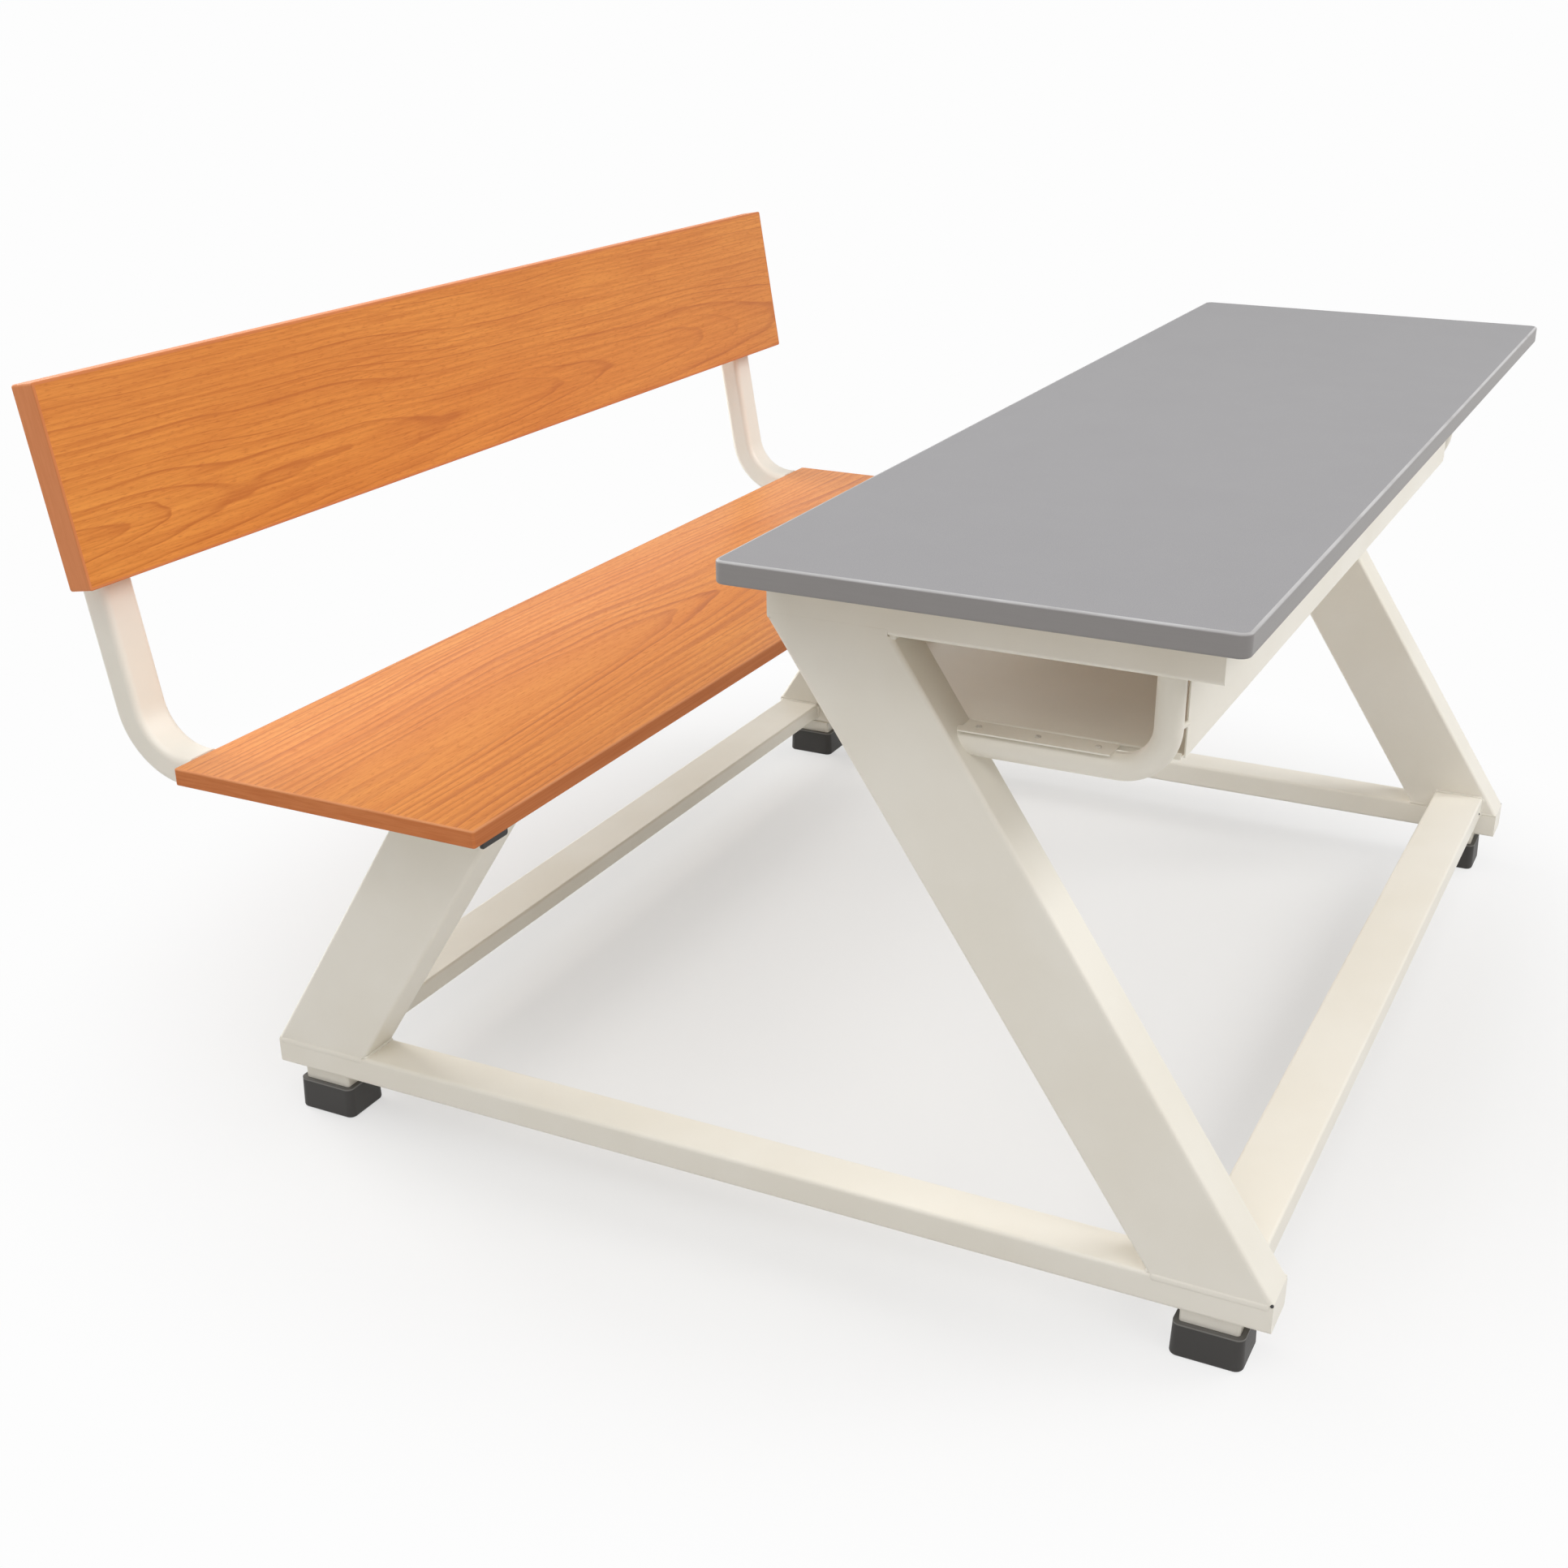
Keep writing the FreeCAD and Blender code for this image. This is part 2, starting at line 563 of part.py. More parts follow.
# Side frames.
for side, sign in SIDES:
    rail = tube(f"bottom_rail_{side}", "leg_width", "rail_height", "leg_round",
                "heel_y - toe_y - 2 * cap_thickness")
    place(rail, signed(sign, "leg_middle_x"), "toe_y + cap_thickness", "rail_clearance + rail_height / 2",
          angle=-90)
    node(rail, rail.Name)
    for end, spot in (("toe", "toe_y"), ("heel", "heel_y - cap_thickness")):
        cap = plate(f"{end}_cap_{side}", "leg_width", "rail_height", "leg_round", "cap_thickness")
        place(cap, signed(sign, "leg_middle_x"), spot, "rail_clearance + rail_height / 2", angle=-90)
        node(cap, cap.Name)

    beam = tube(f"top_beam_{side}", "leg_width", "top_rail_height", "leg_round",
                "top_rail_rear - top_rail_front - 2 * cap_thickness")
    place(beam, signed(sign, "leg_middle_x"), "top_rail_front + cap_thickness",
          "top_rail_under + top_rail_height / 2", angle=-90)
    drilled = cut(f"top_rail_{side}", beam, desk_screws.holes(f"top_rail_{side}", on_side(sign)))
    node(drilled, drilled.Name)
    for end, spot in (("front", "top_rail_front"), ("rear", "top_rail_rear - cap_thickness")):
        cap = plate(f"top_rail_{end}_cap_{side}", "leg_width", "top_rail_height", "leg_round",
                    "cap_thickness")
        place(cap, signed(sign, "leg_middle_x"), spot, "top_rail_under + top_rail_height / 2", angle=-90)
        node(cap, cap.Name)

    for leg, turn, start, rise in (
            ("desk_leg", "-desk_leg_lean", "toe_y + desk_leg_span / 2", "desk_leg_rise"),
            ("seat_leg", "seat_leg_lean", "heel_y - seat_leg_span / 2", "seat_leg_rise")):
        blank = tube(f"{leg}_blank_{side}", "leg_width", "leg_depth", "leg_round",
                     f"{rise} / cos({leg}_lean) + 2 * leg_depth * tan({leg}_lean)")
        place(blank, signed(sign, "leg_middle_x"), f"{start} + leg_depth * tan({leg}_lean) * sin({turn})",
              f"rail_top - leg_depth * tan({leg}_lean) * cos({leg}_lean)", angle=turn)
        levels = box(f"{leg}_levels_{side}", pair_x("leg_middle_x", "leg_width", sign),
                     ("toe_y - leg_depth", "heel_y + leg_depth"), ("rail_top", f"rail_top + {rise}"))
        trimmed = document.addObject("Part::Common", f"{leg}_{side}")
        trimmed.Base = blank
        trimmed.Tool = levels
        node(trimmed, trimmed.Name)

    reach = ("leg_inner_x", "post_middle_x") if sign > 0 else ("-post_middle_x", "-leg_inner_x")
    head_plate = box(f"seat_leg_plate_{side}", reach, ("seat_leg_front", "seat_leg_rear"),
                     ("seat_leg_top", "bearer_under"))
    node(head_plate, head_plate.Name)
    bearer = tube(f"bearer_blank_{side}", "post_width", "bearer_height", "bearer_round",
                  "post_end_y - cap_thickness - bearer_front")
    place(bearer, signed(sign, "post_middle_x"), "bearer_front", "bearer_under + bearer_height / 2",
          angle=-90)
    drilled = cut(f"seat_bearer_{side}", bearer, seat_screws.holes(f"seat_bearer_{side}", on_side(sign)))
    node(drilled, drilled.Name)

    post = bent_tube(
        f"post_blank_{side}", rectangle("post_width", "post_depth", "post_round"),
        rectangle("post_width - 2 * tube_wall", "post_depth - 2 * tube_wall", "post_round - tube_wall"), 0,
        ("90 - back_lean", "post_top_y - post_end_y", "post_top_z - post_run_z", "post_bend"))
    place(post, signed(sign, "post_middle_x"), "post_end_y", "post_run_z")
    drilled = cut(f"back_post_{side}", post, back_screws.holes(f"back_post_{side}", on_side(sign)))
    node(drilled, drilled.Name)
    end = plate(f"post_end_plate_{side}", "post_width", "post_depth", "post_round", "cap_thickness")
    place(end, signed(sign, "post_middle_x"), "post_end_y - cap_thickness", "post_run_z", angle=-90)
    node(end, end.Name)

    for label, depth, corner, spot, turn in (
            ("bearer", "bearer_height", "bearer_round",
             ("bearer_front", "bearer_under + bearer_height / 2"), 90),
            ("post", "post_depth", "post_round", ("post_top_y", "post_top_z"), "-back_lean")):
        plug = new_body(f"{label}_plug_{side}")
        flange = new_sketch(plug, "XY_Plane", f"{plug.Name}Flange")
        rounded_rectangle(flange, "outer", "post_width", depth, corner)
        head = pad(plug, flange, "plug_flange")
        soften(plug, head, "plug_flange / 2", lambda edge: edge.BoundBox.ZMin > amount("plug_flange") - 1e-6)
        insert = new_sketch(plug, "XY_Plane", f"{plug.Name}Insert", "-plug_insert")
        slack = "2 * tube_wall - 2 * plug_clearance"
        rounded_rectangle(insert, "outer", f"post_width - {slack}", f"{depth} - {slack}",
                          f"{corner} - tube_wall - plug_clearance")
        pad(plug, insert, "plug_insert")
        place(plug, signed(sign, "post_middle_x"), *spot, angle=turn)
        node(plug, plug.Name)

    loop = bent_tube(f"loop_blank_{side}", disc("loop_diameter"), disc("loop_diameter - 2 * loop_wall"), -90,
                     ("0", "loop_leg_y + loop_diameter - loop_y", "loop_run_z - top_rail_under", "loop_bend"))
    place(loop, signed(sign, "leg_middle_x"), "loop_y", "top_rail_under")
    leg_space = document.addObject("Part::Box", f"leg_space_{side}")
    bind(leg_space, Length="leg_width", Width="leg_depth", Height="desk_leg_rise / cos(desk_leg_lean)")
    place(leg_space, f"{signed(sign, 'leg_middle_x')} - leg_width / 2", "toe_y", "rail_top",
          angle="-desk_leg_lean")
    bores = tray_screws.holes(f"tray_loop_{side}", on_side(sign))
    drilled = cut(f"tray_loop_{side}", loop, [leg_space] + bores)
    node(drilled, drilled.Name)

    for leg in ("desk", "seat"):
        stub = tube(f"{leg}_foot_stub_{side}", "stub_width", "stub_depth", "stub_round",
                    "rail_clearance - shoe_floor")
        place(stub, signed(sign, "stub_middle_x"), f"{leg}_stub_y", "shoe_floor")
        node(stub, stub.Name)
        shoe = new_body(f"{leg}_shoe_blank_{side}")
        base = new_sketch(shoe, "XY_Plane", shoe.Name + "Base")
        rounded_rectangle(base, "outer", "stub_width + 2 * shoe_wall", "stub_depth + 2 * shoe_wall",
                          "shoe_corner")
        cup = pad(shoe, base, "shoe_height", "-shoe_taper")
        soften(shoe, cup, "shoe_edge_round", lambda edge: edge.BoundBox.ZMax < 1e-6)
        place(shoe, signed(sign, "stub_middle_x"), f"{leg}_stub_y")
        socket = plate(f"{leg}_socket_{side}", "stub_width", "stub_depth", "stub_round", "shoe_height")
        place(socket, signed(sign, "stub_middle_x"), f"{leg}_stub_y", "shoe_floor")
        node(cut(f"{leg}_shoe_{side}", shoe, [socket]), f"{leg}_shoe_{side}")

# Spacers between the backrest and its posts, round the screws.
rings = []
for side, sign in SIDES:
    for number, half in enumerate((-0.5, 0.5)):
        ring = document.addObject("Part::Cylinder", f"spacer_blank_{side}_{number}")
        bind(ring, Radius="spacer_diameter / 2", Height="spacer_thickness")
        place(ring, *back_spot(sign, half, "spacer_thickness"), angle="90 - back_lean")
        rings.append(ring)
ring_group = document.addObject("Part::Compound", "spacer_blanks")
ring_group.Links = rings
node(cut("backrest_spacers", ring_group, back_screws.holes("backrest_spacers")), "backrest_spacers")

# Crossbars between the side frames.
for label, middle in (("front", "toe_y + front_bar_inset + front_bar_depth / 2"),
                      ("rear", "heel_y - rear_bar_inset - rear_bar_depth / 2")):
    height = f"{label}_bar_height"
    bar = tube(f"{label}_crossbar", height, f"{label}_bar_depth", "bar_round", "2 * leg_inner_x")
    place(bar, "-leg_inner_x", middle, f"rail_clearance + {label}_bar_lift + {height} / 2", Y_AXIS, 90)
    node(bar, bar.Name)

# Book tray: a shallow pan whose flanges lie on the loops, and a front panel between the rails.
pan_top = "pan_under + sheet_thickness"
flange_levels = ("loop_top_z", "loop_top_z + sheet_thickness")
flange_run = ("tray_flange_front", "tray_narrow_y")
narrow_half = "leg_inner_x - tray_side_gap"
strips = [
    box("pan_floor", ("-pan_half", "pan_half"), ("panel_inner_y", "tray_narrow_y"), ("pan_under", pan_top)),
    box("pan_shelf", (f"-({narrow_half})", narrow_half), ("tray_narrow_y", "tray_rear_y"),
        ("pan_under", pan_top)),
    box("pan_hem", (f"-({narrow_half})", narrow_half), ("tray_rear_y - sheet_thickness", "tray_rear_y"),
        ("pan_under", "pan_under + tray_hem")),
]
for side, sign in SIDES:
    wall = ("pan_half - sheet_thickness", "pan_half")
    flange = ("pan_half - sheet_thickness", "tray_wide_half")
    limits = [pair if sign > 0 else (f"-({pair[1]})", f"-({pair[0]})") for pair in (wall, flange)]
    strips.append(box(f"pan_wall_{side}", limits[0], ("panel_inner_y", "tray_narrow_y"),
                      ("pan_under", "loop_top_z + sheet_thickness")))
    strips.append(box(f"pan_flange_{side}", limits[1], flange_run, flange_levels))
pan = join("pan_sheet", strips)
node(cut("tray_bottom", pan, tray_screws.holes("tray_bottom")), "tray_bottom")

lip_under = "pan_under - sheet_thickness"
between_rails = ("-leg_inner_x", "leg_inner_x")
lip_depth = ("panel_front_y", "panel_front_y + panel_lip")
folds = [
    box("panel_face", between_rails, ("panel_front_y", "panel_inner_y"), (lip_under, "desk_under")),
    box("panel_top_fold", between_rails, lip_depth, ("desk_under - sheet_thickness", "desk_under")),
    box("panel_lip_fold", between_rails, lip_depth, (lip_under, "pan_under")),
]
node(join("front_panel", folds), "tray_front_panel")

# Everything is checked before anything is written.
document.recompute()
for item in document.Objects:
    if {"Invalid", "Error"} & set(item.State):
        raise RuntimeError(f"{item.Label} failed: {item.State}")
for item in NODES:
    if item.Shape.isNull() or not item.Shape.isValid():
        raise RuntimeError(f"{item.Label} has no valid shape")
os.makedirs("parts", exist_ok=True)
for item in NODES:
    item.Shape.exportStep(f"parts/{item.Label}.step")
print(len(NODES), "pieces written")
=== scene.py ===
"""Looks of a school desk with an attached bench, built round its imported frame.

Everything is in metres in the frame's own axes: X along the length, Y from the desk to the bench, Z up.
"""
import json
import logging
import math
from dataclasses import dataclass, field
from enum import Enum
from typing import Any, Sequence

import bmesh
import bpy
import numpy as np
from mathutils import Matrix, Vector


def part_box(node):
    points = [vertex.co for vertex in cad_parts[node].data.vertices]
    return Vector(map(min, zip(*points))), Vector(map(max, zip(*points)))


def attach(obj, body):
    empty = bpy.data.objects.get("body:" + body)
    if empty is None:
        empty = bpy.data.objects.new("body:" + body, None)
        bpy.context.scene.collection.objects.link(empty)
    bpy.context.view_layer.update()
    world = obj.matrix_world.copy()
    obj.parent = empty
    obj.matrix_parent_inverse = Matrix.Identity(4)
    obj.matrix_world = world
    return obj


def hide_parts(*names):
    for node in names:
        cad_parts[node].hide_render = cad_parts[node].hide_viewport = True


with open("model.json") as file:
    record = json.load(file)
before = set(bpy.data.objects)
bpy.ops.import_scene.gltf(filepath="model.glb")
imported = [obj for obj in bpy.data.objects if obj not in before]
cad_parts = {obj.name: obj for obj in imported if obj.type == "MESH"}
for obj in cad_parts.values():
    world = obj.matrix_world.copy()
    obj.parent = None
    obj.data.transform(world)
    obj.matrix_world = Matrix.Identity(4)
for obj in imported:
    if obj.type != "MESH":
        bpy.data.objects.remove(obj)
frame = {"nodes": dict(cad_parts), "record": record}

log = logging.getLogger("school_desk")
Colour = tuple[float, float, float, float]
SIDES = (1, -1)
SHARP_FROM = math.radians(50)
BACK_LEAN = math.radians(9.4)
SOFT_EDGE = 0.0003
WELD_DISTANCE = 1e-6


class Slot(Enum):
    """The record's finishes that the new pieces take."""

    IVORY = "ivory_paint"
    BLACK = "black_plastic"
    ZINC = "zinc_steel"


def srgb(red: int, green: int, blue: int) -> Colour:
    """Turns a screen colour into the linear colour that shaders use.

    Args:
        red: Red part, 0 to 255.
        green: Green part, 0 to 255.
        blue: Blue part, 0 to 255.

    Returns:
        The linear colour with full opacity.
    """
    parts = np.array([red, green, blue]) / 255.0
    linear = np.where(parts <= 0.04045, parts / 12.92, ((parts + 0.055) / 1.055) ** 2.4)
    return (float(linear[0]), float(linear[1]), float(linear[2]), 1.0)


class Value:
    """A shader socket that takes part in Python arithmetic."""

    def __init__(self, graph: "Graph", socket: bpy.types.NodeSocket) -> None:
        """Keeps the graph and the socket."""
        self.graph = graph
        self.socket = socket

    def __add__(self, other: "Value | float") -> "Value":
        """Adds."""
        return self.graph.math("ADD", self, other)

    def __sub__(self, other: "Value | float") -> "Value":
        """Subtracts."""
        return self.graph.math("SUBTRACT", self, other)

    def __rsub__(self, other: float) -> "Value":
        """Subtracts from a number."""
        return self.graph.math("SUBTRACT", other, self)

    def __mul__(self, other: "Value | float") -> "Value":
        """Multiplies."""
        return self.graph.math("MULTIPLY", self, other)

    def __truediv__(self, other: "Value | float") -> "Value":
        """Divides."""
        return self.graph.math("DIVIDE", self, other)


class Graph:
    """The shader nodes of one material, or of the world."""

    def __init__(self, owner: "bpy.types.Material | bpy.types.World") -> None:
        """Takes over the owner's node tree and empties it.

        Args:
            owner: The material or world.
        """
        owner.use_nodes = True
        self.tree = owner.node_tree
        self.tree.nodes.clear()

    def node(self, kind: str, settings: dict[str, Any] | None = None,
             inputs: dict[str | int, Any] | None = None) -> bpy.types.Node:
        """Adds any node.

        Args:
            kind: The node's type.
            settings: Properties to set first.
            inputs: Values or links for its sockets, by name or number.

        Returns:
            The new node.
        """
        made = self.tree.nodes.new(kind)
        for name, value in (settings or {}).items():
            setattr(made, name, value)
        for key, value in (inputs or {}).items():
            if isinstance(value, Value):
                self.tree.links.new(value.socket, made.inputs[key])
            else:
                made.inputs[key].default_value = value
        return made

    def out(self, made: bpy.types.Node, socket: str | int = 0) -> Value:
        """Wraps one of a node's outputs."""
        return Value(self, made.outputs[socket])

    def math(self, operation: str, *parts: "Value | float") -> Value:
        """Adds a Math node.

        Args:
            operation: The node's operation.
            parts: Its operands.

        Returns:
            The result.
        """
        return self.out(self.node("ShaderNodeMath", {"operation": operation}, dict(enumerate(parts))))

    def blend(self, share: "Value | float", first: Any, second: Any) -> Value:
        """Mixes two colours.

        Args:
            share: How much of the second colour is used.
            first: First colour or link.
            second: Second colour or link.

        Returns:
            The mixed colour.
        """
        return self.out(self.node("ShaderNodeMix", {"data_type": "RGBA"}, {0: share, 6: first, 7: second}), 2)

    def step(self, value: Value, low: float, high: float) -> Value:
        """Ramps smoothly from 0 at low to 1 at high.

        Args:
            value: The value to look at.
            low: Where the ramp starts.
            high: Where it ends.

        Returns:
            The share from 0 to 1.
        """
        made = self.node("ShaderNodeMapRange", {"interpolation_type": "SMOOTHSTEP"},
                         {0: value, 1: low, 2: high, 3: 0.0, 4: 1.0})
        return self.out(made)

    def coordinates(self, centre: Sequence[float] = (0, 0, 0), turn_x: float = 0.0) -> Value:
        """Gives object coordinates seen from a piece's own centre and tilt.

        Args:
            centre: The piece's middle in metres.
            turn_x: The piece's turn about X in radians.

        Returns:
            The coordinates in metres.
        """
        source = self.out(self.node("ShaderNodeTexCoord"), "Object")
        made = self.node("ShaderNodeMapping", {"vector_type": "TEXTURE"},
                         {"Vector": source, "Location": tuple(centre), "Rotation": (turn_x, 0, 0)})
        return self.out(made)

    def stretched(self, vector: Value, factors: Sequence[float]) -> Value:
        """Multiplies a vector part by part."""
        made = self.node("ShaderNodeVectorMath", {"operation": "MULTIPLY"}, {0: vector, 1: tuple(factors)})
        return self.out(made)

    def height(self, vector: Value) -> Value:
        """Gives a vector's Z part."""
        return self.out(self.node("ShaderNodeSeparateXYZ", None, {0: vector}), "Z")

    def below(self, height: Value, level: float) -> Value:
        """Gives 1 below a level and 0 above it, with a narrow soft edge."""
        return 1.0 - self.step(height, level - SOFT_EDGE, level + SOFT_EDGE)

    def seen(self) -> Value:
        """Gives 1 for rays that show a thing and 0 for rays that only carry its light.

        Returns:
            The value, which is 1 for straight, mirrored and see-through rays.
        """
        rays = self.node("ShaderNodeLightPath")
        shown = self.math("MAXIMUM", self.out(rays, "Is Camera Ray"), self.out(rays, "Is Glossy Ray"))
        return self.math("MAXIMUM", shown, self.out(rays, "Is Transmission Ray"))

    def noise(self, vector: Value, scale: float, detail: float = 2.0, roughness: float = 0.5) -> Value:
        """Adds a noise texture.

        Args:
            vector: Where to read it.
            scale: Waves per metre of the vector.
            detail: Number of finer layers.
            roughness: Strength of the finer layers.

        Returns:
            A value from 0 to 1, mostly near a half.
        """
        made = self.node("ShaderNodeTexNoise", None, {
            "Vector": vector, "Scale": scale, "Detail": detail, "Roughness": roughness})
        return self.out(made)

    def bump(self, height: Value, distance: float) -> Value:
        """Turns a height from 0 to 1 into a bent normal.

        Args:
            height: The height.
            distance: The height's size in metres.

        Returns:
            The normal.
        """
        return self.out(self.node("ShaderNodeBump", None, {"Strength": 1.0, "Distance": distance, "Height": height}))

    def surface(self, **sockets: Any) -> None:
        """Adds the main shader and the output.

        Args:
            sockets: Values and links by socket name, with underscores for spaces.
        """
        inputs = {name.replace("_", " "): value for name, value in sockets.items()}
        shader = self.node("ShaderNodeBsdfPrincipled", None, inputs)
        self.node("ShaderNodeOutputMaterial", None, {"Surface": self.out(shader)})


def new_material(name: str) -> tuple[bpy.types.Material, Graph]:
    """Starts a material.

    Args:
        name: The material's name.

    Returns:
        The material and its graph.
    """
    material = bpy.data.materials.new(name)
    return material, Graph(material)


@dataclass(frozen=True)
class PowderCoat:
    """Satin powder coat on steel: a fine orange peel, faint clouds of tone and a soft sheen."""

    name: str = "ivory_powder_coat"
    colour: Colour = srgb(241, 237, 227)
    shade: Colour = srgb(236, 231, 219)
    peel_scale: float = 420.0
    peel_height: float = 0.00005
    roughness: float = 0.42

    def build(self) -> bpy.types.Material:
        """Builds the finish.

        Returns:
            The material.
        """
        material, graph = new_material(self.name)
        place = graph.coordinates()
        clouds = graph.noise(place, 7.0, 3.0)
        specks = graph.noise(place, 1900.0, 1.0)
        peel = graph.noise(place, self.peel_scale, 2.0, 0.45)
        tone = graph.step(clouds, 0.32, 0.68) * 0.8 + specks * 0.2
        graph.surface(
            Base_Color=graph.blend(tone, self.colour, self.shade),
            Roughness=(clouds - 0.5) * 0.10 + (specks - 0.5) * 0.08 + self.roughness,
            Normal=graph.bump(peel * 0.8 + specks * 0.2, self.peel_height))
        return material


@dataclass(frozen=True)
class GreyLaminate:
    """Satin grey laminate with a fine pebble and a hardly seen mottle, over a pale backing sheet underneath."""

    name: str = "grey_laminate"
    colour: Colour = srgb(147, 146, 148)
    dark: Colour = srgb(141, 140, 142)
    pebble_scale: float = 1300.0
    pebble_height: float = 0.00004
    roughness: float = 0.42
    specular: float = 0.08
    backing: Colour = srgb(206, 193, 172)
    backing_below: float = 0.6355

    def build(self) -> bpy.types.Material:
        """Builds the finish.

        Returns:
            The material.
        """
        material, graph = new_material(self.name)
        place = graph.coordinates()
        mottle = graph.noise(place, 16.0, 4.0, 0.6)
        pebble = graph.noise(place, self.pebble_scale, 2.0, 0.6)
        tone = graph.step(mottle, 0.3, 0.7) * 0.15 + graph.step(pebble, 0.38, 0.62) * 0.85
        backed = graph.below(graph.height(place), self.backing_below)
        graph.surface(
            Base_Color=graph.blend(backed, graph.blend(tone, self.colour, self.dark), self.backing),
            Roughness=(mottle - 0.5) * 0.03 + (pebble - 0.5) * 0.12 + self.roughness,
            Specular_IOR_Level=self.specular,
            Normal=graph.bump(pebble, self.pebble_height))
        return material


@dataclass(frozen=True)
class EdgeBand:
    """A plastic edge band with faint streaks along it, and a painted tone in patches on the arris at the board's face:
    a painted highlight on the desk and seat bands, a darker tone on the backrest band.
    """

    name: str
    colour: Colour
    streak: Colour
    # Colour painted on the arris: a painted highlight on the desk and seat bands, a darker tone on the backrest band.
    arris: Colour
    centre: tuple[float, float, float]
    turn_x: float = 0.0
    streaked: float = 1.0
    arris_depth: float = 0.0019
    roughness: float = 0.42
    specular: float = 0.3
    relief: float = 0.00003

    def build(self) -> bpy.types.Material:
        """Builds the finish.

        Returns:
            The material.
        """
        material, graph = new_material(self.name)
        place = graph.coordinates(self.centre, self.turn_x)
        level = graph.height(place)
        streaks = graph.noise(graph.stretched(place, (7.0, 26.0, 420.0)), 1.0, 3.0, 0.6)
        pebble = graph.noise(place, 1500.0, 1.0)
        # Painted tone on the rounded arris next to the board's face (a painted highlight on the desk and seat bands,
        # darker on the backrest band), broken into patches by noise.
        arris_patch_noise = graph.noise(graph.stretched(place, (9.0, 9.0, 60.0)), 1.0, 3.0, 0.6)
        painted_arris = graph.step(arris_patch_noise, 0.25, 0.6) * 0.6 + 0.4
        wear_and_painted_arris = graph.step(level, -self.arris_depth, -self.arris_depth * 0.3) * painted_arris
        plain = graph.blend(graph.step(streaks, 0.3, 0.7) * self.streaked, self.colour, self.streak)
        graph.surface(
            Base_Color=graph.blend(wear_and_painted_arris, plain, self.arris),
            Roughness=(pebble - 0.5) * 0.12 + self.roughness,
            Specular_IOR_Level=self.specular,
            Normal=graph.bump(pebble * 0.6 + streaks * (0.4 * self.streaked), self.relief))
        return material


